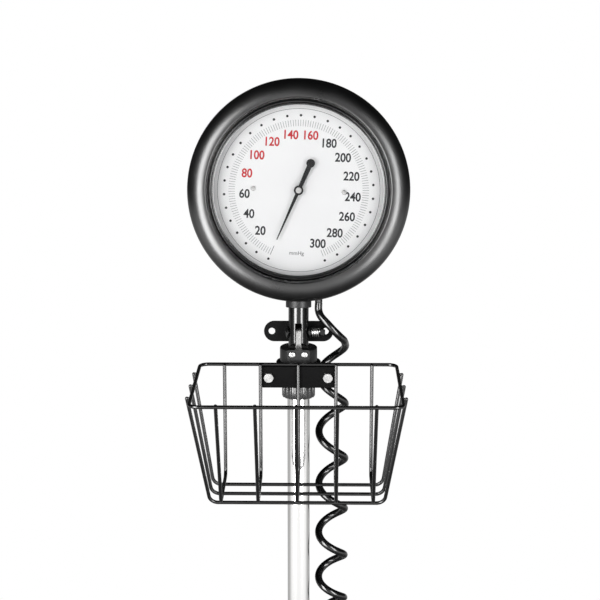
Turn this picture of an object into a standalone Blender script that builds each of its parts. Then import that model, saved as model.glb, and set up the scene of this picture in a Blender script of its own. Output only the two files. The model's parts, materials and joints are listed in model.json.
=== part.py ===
"""Stand aneroid sphygmomanometer: a clock-style pressure gauge that tilts on a telescopic pole, with a wire
basket, a coiled hose and a five-arm base on castors.

Metres, +Z up. The floor is z = 0, the gauge faces -Y, and the origin lies under the middle of the base's box.
Each separate piece is one object. Moving pieces hang on empties whose origins lie on their joint axes.
"""

import math

import bmesh
import bpy
import numpy as np
from mathutils import Matrix, Vector

TURN = 2 * math.pi

# Clearances shared by everything that touches
clearance = 0.0003  # between pieces that rest on or run in each other
overrun = 0.002  # how far a cutter passes the face that it cuts
weld = 0.000001  # points this close are one point

# Steps round a full turn, by size of piece
large_steps = 40
tube_steps = 20
small_steps = 12
wheel_steps = 14
clamp_steps = 34

# Castors
leg_count = 5
castor_circle = 0.236
castor_trail = 0.018
wheel_radius = 0.025
wheel_width = 0.020
wheel_shoulder = 0.0035
wheel_hub_radius = 0.0085
wheel_web_recess = 0.0035
tyre_thickness = 0.0065
axle_radius = 0.0035
cheek_thickness = 0.0025
cheek_gap = 0.0006
axle_eye_radius = 0.0075
axle_eye_start = math.radians(215)  # where the cheek's rounded end begins and stops
axle_eye_end = math.radians(355)
crown_thickness = 0.004
crown_over_wheel = 0.003
crown_half_length = 0.013
crown_collar_radius = 0.009
crown_collar_height = 0.0035
stem_radius = 0.005
stem_length = 0.0145

# Five-arm base
arm_wall = 0.003
arm_end_radius = 0.0145
arm_end_height = 0.019
arm_root_width = 0.036
arm_root_bottom = 0.078
arm_root_top = 0.114
arm_side_height = 0.006
hub_radius = 0.034
hub_bottom = 0.070
hub_top = 0.126
hub_shoulder = 0.007
hub_floor = 0.009
socket_bottom = 0.083

# Pole
pole_radius = 0.01025
pole_wall = 0.0012
pole_top = 0.817
plug_height = 0.024
bolt_radius = 0.003
bolt_head_radius = 0.0065
bolt_head_height = 0.004
bolt_grip = 0.018
mast_radius = 0.0075
mast_wall = 0.0012
mast_length = 0.500
foot_height = 0.012
foot_spigot = 0.015
bush_length = 0.060
bush_flange = 0.0015

# Locking collar
collar_radius = 0.0151
collar_height = 0.012
collar_lip = 0.0024
collar_rib_depth = 0.0008
collar_ribs = 18
collar_rib_shares = ((0.0, 1.0), (0.32, 1.0), (0.46, 0.0), (0.86, 0.0))  # of one rib's step and depth

# Clamp body on the mast's top
mast_head_radius = 0.017
mast_head_height = 0.0343
mast_head_edge = 0.0012
mast_socket_depth = 0.0217
front_flat = 0.0137
front_flat_height = 0.0122
tongue_foot_width = 0.019
tongue_foot_height = 0.0088
tongue_thickness = 0.0056
tongue_depth = 0.0084
head_screw_spacing = 0.0114
head_screw_drop = 0.0042
head_screw_radius = 0.0015
head_screw_head_radius = 0.0031
head_screw_head_height = 0.0019
head_screw_reach = 0.005
screw_dome_shares = ((1.0, 0.5), (0.72, 0.9))  # of a screw head's radius and height

# Tilting neck
pivot_rise = 0.0136  # above the clamp body's top
fork_radius = 0.0092
fork_bottom_radius = 0.0128
slot_width = 0.0063
slot_above_pivot = 0.0085
fork_insert = 0.0146
pivot_pin_radius = 0.0025
pivot_head_radius = 0.0056
pivot_head_height = 0.003
pivot_head_shares = ((0.7, 1.0), (1.0, 0.5))  # of the bolt head's radius and height
washer_radius = 0.0056
washer_thickness = 0.0014
spring_length = 0.0086
spring_wire = 0.0011
spring_outer_radius = 0.0046
spring_curls = 4.5
nut_height = 0.0029
nut_radius = 0.0047
pin_past_nut = 0.0012
plate_end = 0.0072  # from a hole's middle to the plate's end
plate_height = 0.0188
plate_thickness = 0.0025
plate_hole_spacing = 0.0491
plate_hole_radius = 0.003
plate_flat_depth = 0.001
head_tilt = math.radians(9.1)

# Gauge, in its own frame: X right, Y up, Z out of the dial
bezel_radius = 0.100
bezel_width = 0.019  # from its outside to its bore
bezel_round = 0.0107  # from its outside to its crest
bezel_back = 0.012
bezel_depth = 0.015  # from its back to its crest
bezel_side_height = 0.003
bezel_inner_drop = 0.0047
bezel_skirt = 0.004  # how far it stands out past the case
case_wall = 0.0025
case_insert = 0.0066  # how far the case's rim goes into the bezel
case_back = 0.025
case_corner = 0.009
case_taper = 0.003
boss_radius = 0.0116
boss_reach = 0.0099  # out of the case
boss_root = 0.012  # into the case
neck_length = 0.0226  # from the pivot to the boss
lens_shelf_width = 0.0035
lens_shelf_height = 0.002
lens_thickness = 0.0025
lens_ring_width = 0.0048
lens_ring_height = 0.0037
lens_ring_shares = ((0.0, 1.0), (0.38, 1.0), (0.45, 0.62), (0.75, 0.55), (0.85, 0.30), (1.0, 0.25))
dial_front = 0.008
dial_thickness = 0.001
dial_edge_gap = 0.0006
dial_turn = math.radians(2.4)  # the plate sits this far clockwise
dial_screw_distance = 0.0408
dial_screw_radius = 0.001
dial_screw_head_radius = 0.0022
dial_screw_head_height = 0.0012
dial_screw_length = 0.007
dial_post_radius = 0.004
dial_bore_radius = 0.003

# Pointer
zero_bearing = math.radians(203.9)  # clockwise from straight up
full_scale_turn = math.radians(315.5)
pointer_length = 0.0483
pointer_tail = 0.0265
pointer_ball_radius = 0.0039
pointer_hub_radius = 0.0043
pointer_hub_height = 0.003
pointer_root_width = 0.0034
pointer_tip_width = 0.0005
pointer_tail_width = 0.0018
pointer_thickness = 0.0007
pointer_height = 0.0022  # the hub's underside over the dial
pointer_bore_depth = 0.002

# Movement, in the gauge's own frame
gear_module = 0.0005
pinion_teeth = 12
sector_teeth = 108
teeth_cut = 14
teeth_past_zero = 2
pressure_angle = math.radians(20)
tooth_backlash = 0.00012
pinion_addendum = 0.0005
sector_addendum = 0.0003
tooth_root_depth = 0.00062
pinion_face = 0.004
sector_thickness = 0.002
sector_plane = 0.0085  # middle of the sector, behind the gauge's centre
sector_bearing = math.radians(-62)
sector_hub_radius = 0.0021
arbor_radius = 0.001
tail_length = 0.004
tail_end_radius = 0.0018
link_pin_radius = 0.0007
link_thickness = 0.0013
link_width = 0.0028
link_eye_clearance = 0.0003
frame_rear = 0.015
frame_plate = 0.002
frame_front = 0.001
frame_corner_radius = 0.005
pillar_radius = 0.0026
frame_pillar_shares = ((0.13, -1.07), (0.80, -1.0), (0.33, 0.27), (-0.23, 0.20))
capsule_radius = 0.013
capsule_dish = 0.0025
capsule_ripple = 0.0005
capsule_skin = 0.0008
capsule_over_block = 0.0072  # from the socket block's top to the seam
capsule_steps = 16
capsule_ripple_shares = (0.84, 0.68, 0.52)
capsule_stub_radius = 0.003
post_radius = 0.0015
post_top = 0.0445  # below the gauge's centre
post_slot_depth = 0.005
hairspring_turns = 2
hairspring_steps = 10  # to a turn
hairspring_reach = 0.0041
hairspring_strip = 0.00035
hairspring_height = 0.001
hairspring_plane = 0.002
stud_radius = 0.0008
socket_block_width = 0.0095
socket_block_depth = 0.012
socket_block_height = 0.018  # from the case's outside
nipple_offset = 0.0182
nipple_radius = 0.0034
nipple_reach = 0.0059  # out of the case

# Basket bracket and basket
bracket_height = 0.0197
bracket_drop = 0.0136  # clamp body's top to the plate's top
bracket_half_width = 0.0335
bracket_thickness = 0.003
bracket_corner = 0.002
basket_bolt_spacing = 0.0534
basket_bolt_radius = 0.003
basket_bolt_head_radius = 0.0047
basket_bolt_head_height = 0.003
basket_bolt_past_ear = 0.0025
wire = 0.0032
rim_width = 0.1768
rim_depth = 0.132
rim_corner = 0.008
basket_height = 0.1038
basket_bottom_depth = 0.0703
wire_bend = 0.008
wire_past_rim = 0.0012
bolt_wire_gap = 0.001  # between a bolt's head and the cross wire beside it
outer_wire_share = 0.594  # of the way from that wire to the rim's side
long_wire_half_width = 0.07615
long_wire_top_shares = (0.24, 0.53, 0.81)
long_wire_bottom_shares = (0.23, 0.57, 0.89)

# Hose
hose = 0.007
coil_centre_x = 0.031
coil_centre_y = 0.0212
coil_radius = 0.0122
coil_start_drop = 0.018  # below the pivot
stretched_turns = 16
closed_turns = 8
top_pitch = 0.058
closed_pitch = 0.00755
points_per_turn = 8
lead_points = (  # from the nipple to the coil, about the pivot: across, back, up
    (0.0205, 0.0058, 0.0130),
    (0.0262, 0.0022, 0.0074),
    (0.0325, 0.0008, 0.0010),
    (0.0390, 0.0030, -0.0045),
)
tail_bend = 0.014
tail_straight = 0.020
connector_radius = 0.0046
connector_length = 0.030
connector_waist_share = 0.78
connector_shoulder_share = 0.25
connector_slope_share = 0.083
connector_tip_radius = 0.0028
connector_tip_length = 0.010

# Heights and places that follow
wheel_side_gap = wheel_width / 2 + cheek_gap
crown_bottom = 2 * wheel_radius + crown_over_wheel
crown_top = crown_bottom + crown_thickness
arm_end_bottom = crown_top + crown_collar_height + clearance
pole_bore_radius = pole_radius - pole_wall
mast_bore_radius = mast_radius - mast_wall
pole_bottom = socket_bottom + clearance
collar_top = pole_top + clearance + bush_flange + clearance + collar_lip
collar_bottom = collar_top - collar_height
mast_head_bottom = collar_top + clearance
mast_head_top = mast_head_bottom + mast_head_height
mast_top = mast_head_bottom + mast_socket_depth
mast_bottom = mast_top - mast_length
pivot_height = mast_head_top + pivot_rise
bracket_top = mast_head_top - bracket_drop
bracket_bottom = bracket_top - bracket_height
bracket_back = -mast_head_radius - clearance
bracket_front = bracket_back - bracket_thickness
wire_pitch = wire + clearance  # centre to centre where two wires are welded
rim_height = bracket_top + clearance + wire / 2
cross_wire_back = bracket_front - clearance - wire / 2
rim_back = cross_wire_back + wire_pitch
rim_front = rim_back - rim_depth
cross_wire_front = rim_front + wire_pitch
basket_bottom = rim_height - basket_height
inner_wire_x = basket_bolt_spacing / 2 + basket_bolt_head_radius + bolt_wire_gap + wire / 2
outer_wire_x = inner_wire_x + (rim_width / 2 - inner_wire_x) * outer_wire_share
bezel_bore_radius = bezel_radius - bezel_width
bezel_crest_radius = bezel_radius - bezel_round
bezel_crest = bezel_back + bezel_depth
bezel_inner_edge = bezel_crest - bezel_inner_drop
bezel_side_top = bezel_back + bezel_side_height
lens_shelf_radius = bezel_bore_radius - lens_shelf_width
lens_seat = bezel_back + lens_shelf_height
lens_ring_bore = bezel_bore_radius - lens_ring_width
dial_radius = bezel_bore_radius - dial_edge_gap
case_radius = bezel_radius - bezel_skirt
case_front = bezel_back + case_insert
boss_bottom = case_radius + boss_reach
boss_inside = case_radius - boss_root
gauge_rise = boss_bottom + neck_length  # pivot to the gauge's centre, along the neck
nipple_end = case_radius + nipple_reach
socket_block_top = case_radius - socket_block_height
capsule_seam = socket_block_top - capsule_over_block
gear_distance = gear_module * (pinion_teeth + sector_teeth) / 2
sector_swing = full_scale_turn * pinion_teeth / sector_teeth
tail_rest = -sector_swing / 2
link_plane = sector_plane - sector_thickness / 2 - clearance - link_thickness / 2

# The base's box reaches further forward, over one leg, than back, over two
wheel_reach = castor_circle + castor_trail
back_angle = TURN / 2 / leg_count
front_reach = wheel_reach + wheel_radius
back_reach = (
    (wheel_reach + wheel_radius - wheel_shoulder) * math.cos(back_angle)
    + (wheel_width / 2 - wheel_shoulder) * math.sin(back_angle)
    + wheel_shoulder
)
pole_y = (front_reach - back_reach) / 2


def material(name, colour, roughness, metallic=0.0, alpha=1.0):
    """A plain Principled material, made once."""
    if name in bpy.data.materials:
        return bpy.data.materials[name]
    made = bpy.data.materials.new(name)
    made.use_nodes = True
    shader = made.node_tree.nodes["Principled BSDF"]
    shader.inputs["Base Color"].default_value = (*colour, 1.0)
    shader.inputs["Roughness"].default_value = roughness
    shader.inputs["Metallic"].default_value = metallic
    shader.inputs["Alpha"].default_value = alpha
    return made


def black_paint():
    return material("black_paint", (0.02, 0.02, 0.022), 0.3)


def black_plastic():
    return material("black_plastic", (0.018, 0.018, 0.02), 0.38)


def black_hose():
    return material("black_hose", (0.012, 0.012, 0.013), 0.2)


def chrome():
    return material("chrome", (0.82, 0.82, 0.83), 0.12, 1.0)


def zinc():
    return material("zinc", (0.72, 0.73, 0.74), 0.3, 1.0)


def brass():
    return material("brass", (0.70, 0.55, 0.28), 0.3, 1.0)


def dial_white():
    return material("dial_white", (0.86, 0.87, 0.87), 0.5)


def clear_window():
    return material("clear_window", (0.95, 0.97, 0.97), 0.05, alpha=0.25)


def castor_grey():
    return material("castor_grey", (0.12, 0.12, 0.13), 0.6)


def wheel_rubber():
    return material("wheel_rubber", (0.05, 0.05, 0.055), 0.7)


def holder(name, parent=None, location=(0, 0, 0), rotation=(0, 0, 0)):
    """An empty that carries pieces, with its origin on a joint axis or a datum."""
    made = bpy.data.objects.new(name, None)
    bpy.context.scene.collection.objects.link(made)
    made.parent = parent
    made.location = location
    made.rotation_euler = rotation
    return made


def piece(name, mesh, finish, parent=None, location=(0, 0, 0), rotation=(0, 0, 0)):
    """One named sub-part."""
    if isinstance(mesh, bpy.types.Mesh):
        mesh.shade_smooth()
        mesh.set_sharp_from_angle(angle=math.radians(35))
    made = bpy.data.objects.new(name, mesh)
    bpy.context.scene.collection.objects.link(made)
    mesh.materials.clear()
    mesh.materials.append(finish)
    made.parent = parent
    made.location = location
    made.rotation_euler = rotation
    return made


def to_mesh(work):
    """The bmesh as a closed mesh with its faces pointing out."""
    bmesh.ops.remove_doubles(work, verts=work.verts, dist=weld)
    bmesh.ops.recalc_face_normals(work, faces=work.faces)
    mesh = bpy.data.meshes.new("shape")
    work.to_mesh(mesh)
    work.free()
    return mesh


def turned(profile, steps=tube_steps):
    """A solid turned about Z from (radius, height) points: a ring unless it starts and ends on the axis."""
    work = bmesh.new()
    verts = [work.verts.new((r, 0, z)) for r, z in profile]
    edges = [work.edges.new(pair) for pair in zip(verts, verts[1:])]
    if profile[0][0] > 0:
        edges.append(work.edges.new((verts[-1], verts[0])))
    bmesh.ops.spin(
        work, geom=verts + edges, cent=(0, 0, 0), axis=(0, 0, 1), angle=TURN, steps=steps, use_merge=True
    )
    return to_mesh(work)


def rod(radius, bottom, top, steps=tube_steps):
    """A plain round bar along Z."""
    return turned([(0, bottom), (radius, bottom), (radius, top), (0, top)], steps)


def edged_rod(radius, bottom, top, edge, steps=tube_steps):
    """A round bar along Z whose top edge is bevelled."""
    profile = [(0, bottom), (radius, bottom), (radius, top - edge), (radius - edge, top), (0, top)]
    return turned(profile, steps)


def pipe(outer, inner, bottom, top, steps=tube_steps):
    """A round tube along Z."""
    return turned([(outer, bottom), (outer, top), (inner, top), (inner, bottom)], steps)


def prism(outline, bottom, top):
    """A flat outline of (x, y) points given thickness along Z."""
    work = bmesh.new()
    face = work.faces.new([work.verts.new((x, y, bottom)) for x, y in outline])
    raised = bmesh.ops.extrude_face_region(work, geom=[face])
    moved = [v for v in raised["geom"] if isinstance(v, bmesh.types.BMVert)]
    bmesh.ops.translate(work, verts=moved, vec=(0, 0, top - bottom))
    return to_mesh(work)


def block(low, high):
    """A box between two corners."""
    outline = [(low[0], low[1]), (high[0], low[1]), (high[0], high[1]), (low[0], high[1])]
    return prism(outline, low[2], high[2])


def turned_to(mesh, axis):
    """The mesh with its Z axis laid along +X, or along -Y, or left alone."""
    quarter = TURN / 4
    if axis == "X":
        mesh.transform(Matrix.Rotation(quarter, 4, "Y"))
    if axis == "-Y":
        mesh.transform(Matrix.Rotation(quarter, 4, "X"))
    return mesh


def moved(mesh, x=0.0, y=0.0, z=0.0):
    mesh.transform(Matrix.Translation((x, y, z)))
    return mesh


def turned_about_z(mesh, angle):
    mesh.transform(Matrix.Rotation(angle, 4, "Z"))
    return mesh


def shaped(base, tools, operation):
    """The base mesh with each tool's solid united with it, cut from it or kept in common with it."""
    collection = bpy.context.scene.collection
    body = bpy.data.objects.new("work_body", base)
    collection.objects.link(body)
    others = []
    for tool in tools:
        other = bpy.data.objects.new("work_tool", tool)
        other.hide_render = True
        other.display_type = "WIRE"
        collection.objects.link(other)
        step = body.modifiers.new("shape", "BOOLEAN")
        step.operation = operation
        step.object = other
        others.append(other)
    graph = bpy.context.evaluated_depsgraph_get()
    result = bpy.data.meshes.new_from_object(body.evaluated_get(graph))
    for spent in [body, *others]:
        data = spent.data
        bpy.data.objects.remove(spent)
        bpy.data.meshes.remove(data)
    return result


def united(base, *tools):
    return shaped(base, tools, "UNION")


def cut(base, *tools):
    return shaped(base, tools, "DIFFERENCE")


def common(base, *tools):
    return shaped(base, tools, "INTERSECT")


def arc(centre, radius, start, end, steps):
    """Points along an arc, ends included; angles run from +X towards +Y."""
    angles = np.linspace(start, end, steps + 1)
    return [(centre[0] + radius * math.cos(a), centre[1] + radius * math.sin(a)) for a in angles]


def obround(half_length, radius, steps=8):
    """A slot shape along X, centred."""
    quarter = TURN / 4
    straight = half_length - radius
    right_end = arc((straight, 0), radius, -quarter, quarter, steps)
    return right_end + arc((-straight, 0), radius, quarter, 3 * quarter, steps)


def rounded_hull(centres, radius, steps=4):
    """The outline round equal circles whose centres run counter-clockwise."""
    outline = []
    count = len(centres)
    for i, centre in enumerate(centres):
        before = Vector(centre) - Vector(centres[i - 1])
        after = Vector(centres[(i + 1) % count]) - Vector(centre)
        start = math.atan2(-before.x, before.y)
        end = math.atan2(-after.x, after.y)
        while end < start:
            end += TURN
        outline += arc(centre, radius, start, end, steps)
    return outline


def rounded_route(corners, radius, steps=3):
    """A polyline through space with its inner corners rounded, as bent wire is."""
    route = [Vector(corners[0])]
    for before, corner, after in zip(corners, corners[1:], corners[2:]):
        corner = Vector(corner)
        inward = (Vector(before) - corner).normalized()
        outward = (Vector(after) - corner).normalized()
        half = inward.angle(outward) / 2
        reach = radius / math.tan(half)
        middle = (inward + outward).normalized()
        centre = corner + middle * (radius / math.sin(half))
        start = corner + inward * reach - centre
        normal = inward.cross(outward).normalized()
        sweep = TURN / 2 - 2 * half
        for i in range(steps + 1):
            route.append(centre + Matrix.Rotation(-sweep * i / steps, 3, normal) @ start)
    route.append(Vector(corners[-1]))
    return route


def smooth_route(points, steps):
    """Points along a Catmull-Rom curve through the given ones."""
    known = [Vector(p) for p in points]
    known = [2 * known[0] - known[1], *known, 2 * known[-1] - known[-2]]
    route = []
    for a, b, c, d in zip(known, known[1:], known[2:], known[3:]):
        for i in range(steps):
            t = i / steps
            square = 2 * a - 5 * b + 4 * c - d
            cube = 3 * b - a - 3 * c + d
            route.append((2 * b + (c - a) * t + square * t**2 + cube * t**3) / 2)
    route.append(known[-2])
    return route


def tube_along(name, route, diameter, sides_step, finish, parent=None, closed=False):
    """A round tube or wire as a curve object along the route."""
    curve = bpy.data.curves.new(name, "CURVE")
    curve.dimensions = "3D"
    curve.bevel_depth = diameter / 2
    curve.bevel_resolution = sides_step
    curve.use_fill_caps = not closed
    spline = curve.splines.new("POLY")
    spline.points.add(len(route) - 1)
    for point, place in zip(spline.points, route):
        point.co = (*place, 1.0)
    spline.use_cyclic_u = closed
    return piece(name, curve, finish, parent)


def least_gap(route, diameter, apart):
    """The least distance from a tube to itself, between points more than `apart` steps along it."""
    places = np.array([tuple(p) for p in route])
    spread = np.linalg.norm(places[:, None] - places[None], axis=2)
    steps = np.abs(np.subtract.outer(np.arange(len(places)), np.arange(len(places))))
    return float(spread[steps > apart].min()) - diameter


def hexagon(corner_radius, bottom, top):
    return prism(arc((0, 0), corner_radius, 0, TURN * 5 / 6, 5), bottom, top)


def make_castor(number, angle, stand):
    """A swivelling fork whose axle trails its stem, and the wheel that rolls on it."""
    swivel = holder(
        f"castor_{number}_swivel",
        stand,
        (castor_circle * math.cos(angle), castor_circle * math.sin(angle), 0),
        (0, 0, angle),
    )
    piece(f"castor_fork_{number}", castor_fork_mesh(), castor_grey(), swivel)
    roll = holder(f"castor_{number}_axle", swivel, (castor_trail, 0, wheel_radius))
    piece(f"castor_wheel_{number}", castor_wheel_mesh(), wheel_rubber(), roll)


def castor_fork_mesh():
    """An inverted U, cut to its side view, with the stem above it and the axle across it."""
    outside = wheel_side_gap + cheek_thickness
    far_end = castor_trail + crown_half_length
    arch = block((-crown_half_length, -outside, 0), (far_end, outside, crown_top))
    tunnel = block(
        (-crown_half_length - overrun, -wheel_side_gap, -overrun),
        (far_end + overrun, wheel_side_gap, crown_bottom),
    )
    eye = (castor_trail, wheel_radius)
    side = [(-crown_half_length, crown_top), (-crown_half_length, crown_bottom - crown_thickness)]
    side += arc(eye, axle_eye_radius, axle_eye_start, axle_eye_end, 6)
    side += [(castor_trail + axle_eye_radius + crown_thickness, crown_bottom), (castor_trail, crown_top)]
    side_view = turned_to(prism(side, -outside - overrun, outside + overrun), "-Y")
    collar = rod(crown_collar_radius, crown_top - overrun, crown_top + crown_collar_height, small_steps)
    stem = rod(stem_radius, crown_top, crown_top + crown_collar_height + stem_length, small_steps)
    axle = turned_to(rod(axle_radius, -outside, outside, small_steps), "-Y")
    axle = moved(axle, castor_trail, 0, wheel_radius)
    return united(common(cut(arch, tunnel), side_view), united(collar, stem), axle)


def castor_wheel_mesh():
    half = wheel_width / 2
    bore = axle_radius + clearance
    rim = wheel_radius - tyre_thickness
    profile = [
        (bore, -half),
        (wheel_hub_radius, -half),
        (wheel_hub_radius, wheel_web_recess - half),
        (rim, wheel_web_recess - half),
        (rim, -half),
        (wheel_radius - wheel_shoulder, -half),
        (wheel_radius, wheel_shoulder - half),
        (wheel_radius, half - wheel_shoulder),
        (wheel_radius - wheel_shoulder, half),
        (rim, half),
        (rim, half - wheel_web_recess),
        (wheel_hub_radius, half - wheel_web_recess),
        (wheel_hub_radius, half),
        (bore, half),
    ]
    return turned_to(turned(profile, wheel_steps), "-Y")


def arm_section(x, inset, below, steps):
    """The arm's D-shaped section at a distance from the hub's axis, drawn in by a wall and let down below."""
    start = hub_radius / 2
    share = min(1.0, (x - start) / (castor_circle - start))
    sink = share * share * (3 - 2 * share)
    low = arm_root_bottom + (arm_end_bottom - arm_root_bottom) * sink - below
    high = arm_root_top + (arm_end_bottom + arm_end_height - arm_root_top) * sink - inset
    half = arm_root_width / 2 + (arm_end_radius - arm_root_width / 2) * share - inset
    past = x - castor_circle
    if past > 0:
        half = max(arm_end_radius / 8, math.sqrt(max(0.0, arm_end_radius**2 - past**2)))
    side_top = low + below + arm_side_height
    dome = [(half * y, side_top + (high - side_top) * z) for y, z in arc((0, 0), 1, 0, TURN / 2, steps)]
    return [(x, half, low)] + [(x, y, z) for y, z in dome] + [(x, -half, low)]


def lofted(sections):
    """A solid through sections that have as many points each."""
    work = bmesh.new()
    rings = [[work.verts.new(point) for point in section] for section in sections]
    for first, second in zip(rings, rings[1:]):
        for i in range(len(first)):
            j = (i + 1) % len(first)
            work.faces.new((first[i], first[j], second[j], second[i]))
    work.faces.new(rings[0])
    work.faces.new(rings[-1])
    return to_mesh(work)


def arm_mesh():
    """One arm of the base along +X: it sinks, narrows and ends round."""
    stations = list(np.linspace(hub_radius / 2, castor_circle, 5))
    stations += [castor_circle + arm_end_radius * math.sin(a) for a in np.linspace(0, TURN / 4, 4)[1:-1]]
    return lofted([arm_section(x, 0, 0, 6) for x in [*stations, castor_circle + arm_end_radius]])


def arm_cavity_mesh():
    """The hollow under an arm, open below, between the hub and the castor's socket."""
    stations = np.linspace(hub_radius + arm_wall, castor_circle - stem_radius - clearance - arm_wall, 4)
    return lofted([arm_section(x, arm_wall, overrun, 4) for x in stations])


def make_base(stand):
    """The five-arm base, the bolt that holds the pole in it, and the castors."""
    hub = [(0, hub_bottom), (hub_radius, hub_bottom)]
    hub += arc((hub_radius - hub_shoulder, hub_top - hub_shoulder), hub_shoulder, 0, TURN / 4, 2)
    hub.append((0, hub_top))
    angles = [TURN * i / leg_count - TURN / 4 for i in range(leg_count)]
    arms = [turned_about_z(arm_mesh(), angle) for angle in angles]
    cavities = [turned_about_z(arm_cavity_mesh(), angle) for angle in angles]
    sockets = []
    for angle in angles:
        socket = rod(
            stem_radius + clearance,
            arm_end_bottom - overrun,
            crown_top + crown_collar_height + stem_length + clearance,
            small_steps,
        )
        sockets.append(moved(socket, castor_circle * math.cos(angle), castor_circle * math.sin(angle)))
    pole_socket = rod(pole_radius + clearance, socket_bottom, hub_top + overrun)
    bolt_hole = rod(bolt_radius + clearance, hub_bottom - overrun, socket_bottom + overrun, small_steps)
    floor_bottom = socket_bottom - hub_floor
    counterbore = rod(bolt_head_radius + clearance, hub_bottom - overrun, floor_bottom, small_steps)
    star = cut(united(turned(hub), *arms), *cavities, *sockets, pole_socket, bolt_hole, counterbore)
    piece("base_star", star, black_paint(), stand)

    seat = floor_bottom - clearance
    head = hexagon(bolt_head_radius, seat - bolt_head_height, seat)
    shank = rod(bolt_radius, seat - bolt_head_height / 2, seat + bolt_grip, small_steps)
    bolt = united(head, shank)
    piece("base_bolt", bolt, zinc(), stand)
    for number, angle in enumerate(angles, 1):
        make_castor(number, angle, stand)


def make_poles(stand):
    """The outer tube with its plug and bush, the locking collar, and the inner tube with its glide foot."""
    piece("lower_pole", pipe(pole_radius, pole_bore_radius, pole_bottom, pole_top), chrome(), stand)
    plug = cut(
        rod(pole_bore_radius - clearance, pole_bottom, pole_bottom + plug_height),
        rod(bolt_radius + clearance, pole_bottom - overrun, pole_bottom + plug_height + overrun, small_steps),
    )
    piece("pole_plug", plug, zinc(), stand)

    seat = pole_top + clearance
    bush_inside = mast_radius + clearance
    bush_outside = pole_bore_radius - clearance
    bush = turned(
        [
            (bush_inside, pole_top - bush_length),
            (bush_outside, pole_top - bush_length),
            (bush_outside, seat),
            (pole_radius, seat),
            (pole_radius, seat + bush_flange),
            (bush_inside, seat + bush_flange),
        ]
    )
    piece("pole_bush", bush, black_plastic(), stand)

    turn = holder("collar_turn", stand, (0, 0, collar_bottom))
    piece("lock_collar", collar_mesh(), black_plastic(), turn)

    slide = holder("mast_slide", stand, (0, 0, mast_bottom))
    foot = turned(
        [
            (0, -clearance - foot_height),
            (bush_outside, -clearance - foot_height),
            (bush_outside, -clearance),
            (mast_bore_radius - clearance, -clearance),
            (mast_bore_radius - clearance, foot_spigot),
            (0, foot_spigot),
        ]
    )
    piece("mast_foot", foot, black_plastic(), slide)
    mast = holder("mast_turn", stand, (0, 0, mast_bottom))
    piece("mast", pipe(mast_radius, mast_bore_radius, 0, mast_length), chrome(), mast)


def collar_mesh():
    """A ribbed ring that fits over the pole's end, with a lip that closes round the mast."""
    outline = []
    step = TURN / collar_ribs
    for i in range(collar_ribs):
        for share, depth_share in collar_rib_shares:
            angle = step * (i + share)
            radius = collar_radius - collar_rib_depth * depth_share
            outline.append((radius * math.cos(angle), radius * math.sin(angle)))
    ribbed = prism(outline, 0, collar_height)
    bore = rod(pole_radius + clearance, -overrun, collar_height - collar_lip)
    lip_bore = rod(mast_radius + clearance, 0, collar_height + overrun)
    return cut(ribbed, bore, lip_bore)


def make_mast_head(stand):
    """The clamp body on the mast, and the flat bar that two screws hold in it."""
    body = turned(
        [
            (0, 0),
            (mast_head_radius - mast_head_edge, 0),
            (mast_head_radius, mast_head_edge),
            (mast_head_radius, mast_head_height - mast_head_edge),
            (mast_head_radius - mast_head_edge, mast_head_height),
            (0, mast_head_height),
        ],
        clamp_steps,
    )
    mast_bore = rod(mast_radius + clearance, -overrun, mast_socket_depth + clearance)
    wide = mast_head_radius + overrun
    flat_bottom = mast_head_height - front_flat_height
    flat = block((-wide, -wide, flat_bottom), (wide, -front_flat, mast_head_height + overrun))
    foot_half = tongue_foot_width / 2 + clearance
    deep = tongue_depth / 2 + clearance
    pocket_floor = mast_head_height - tongue_foot_height - clearance
    pocket = block((-foot_half, -deep, pocket_floor), (foot_half, deep, mast_head_height + overrun))
    screw_height = mast_head_height - head_screw_drop
    holes = []
    for x in (-head_screw_spacing / 2, head_screw_spacing / 2):
        hole = rod(head_screw_radius + clearance, 0, front_flat + overrun, small_steps)
        holes.append(moved(turned_to(hole, "-Y"), x, 0, screw_height))
    clamp = holder("mast_head_base", stand, (0, 0, mast_head_bottom))
    piece("mast_head", cut(body, mast_bore, flat, pocket, *holes), black_paint(), clamp)

    tongue_holes = []
    reach = tongue_depth / 2 - head_screw_reach - clearance
    for number, x in enumerate((-head_screw_spacing / 2, head_screw_spacing / 2), 1):
        hole = rod(head_screw_radius + clearance, reach, tongue_depth, small_steps)
        tongue_holes.append(moved(turned_to(hole, "-Y"), x, 0, screw_height))
        seat = front_flat + clearance
        screw = [(0, reach + clearance), (head_screw_radius, reach + clearance)]
        screw += [(head_screw_radius, seat), (head_screw_head_radius, seat)]
        for across, high in screw_dome_shares:
            screw.append((head_screw_head_radius * across, seat + head_screw_head_height * high))
        screw.append((0, seat + head_screw_head_height))
        screw_mesh = turned_to(turned(screw, small_steps), "-Y")
        piece(f"head_screw_{number}", screw_mesh, chrome(), clamp, (x, 0, screw_height))

    foot_bottom = mast_head_height - tongue_foot_height
    half_thick = tongue_thickness / 2
    half_deep = tongue_depth / 2
    pivot = mast_head_height + pivot_rise
    foot = block(
        (-tongue_foot_width / 2, -half_deep, foot_bottom),
        (tongue_foot_width / 2, half_deep, mast_head_height - clearance),
    )
    side = [(-half_deep, foot_bottom), (half_deep, foot_bottom)] + arc((0, pivot), half_deep, 0, TURN / 2, 10)
    blade = prism(side, -half_thick, half_thick)
    blade.transform(Matrix.Rotation(TURN / 4, 4, "Z") @ Matrix.Rotation(TURN / 4, 4, "X"))
    pin_hole = rod(pivot_pin_radius + clearance, -tongue_thickness, tongue_thickness, small_steps)
    pin_hole = moved(turned_to(pin_hole, "X"), 0, 0, pivot)
    piece("pivot_tongue", cut(united(foot, blade), pin_hole, *tongue_holes), zinc(), clamp)


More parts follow.
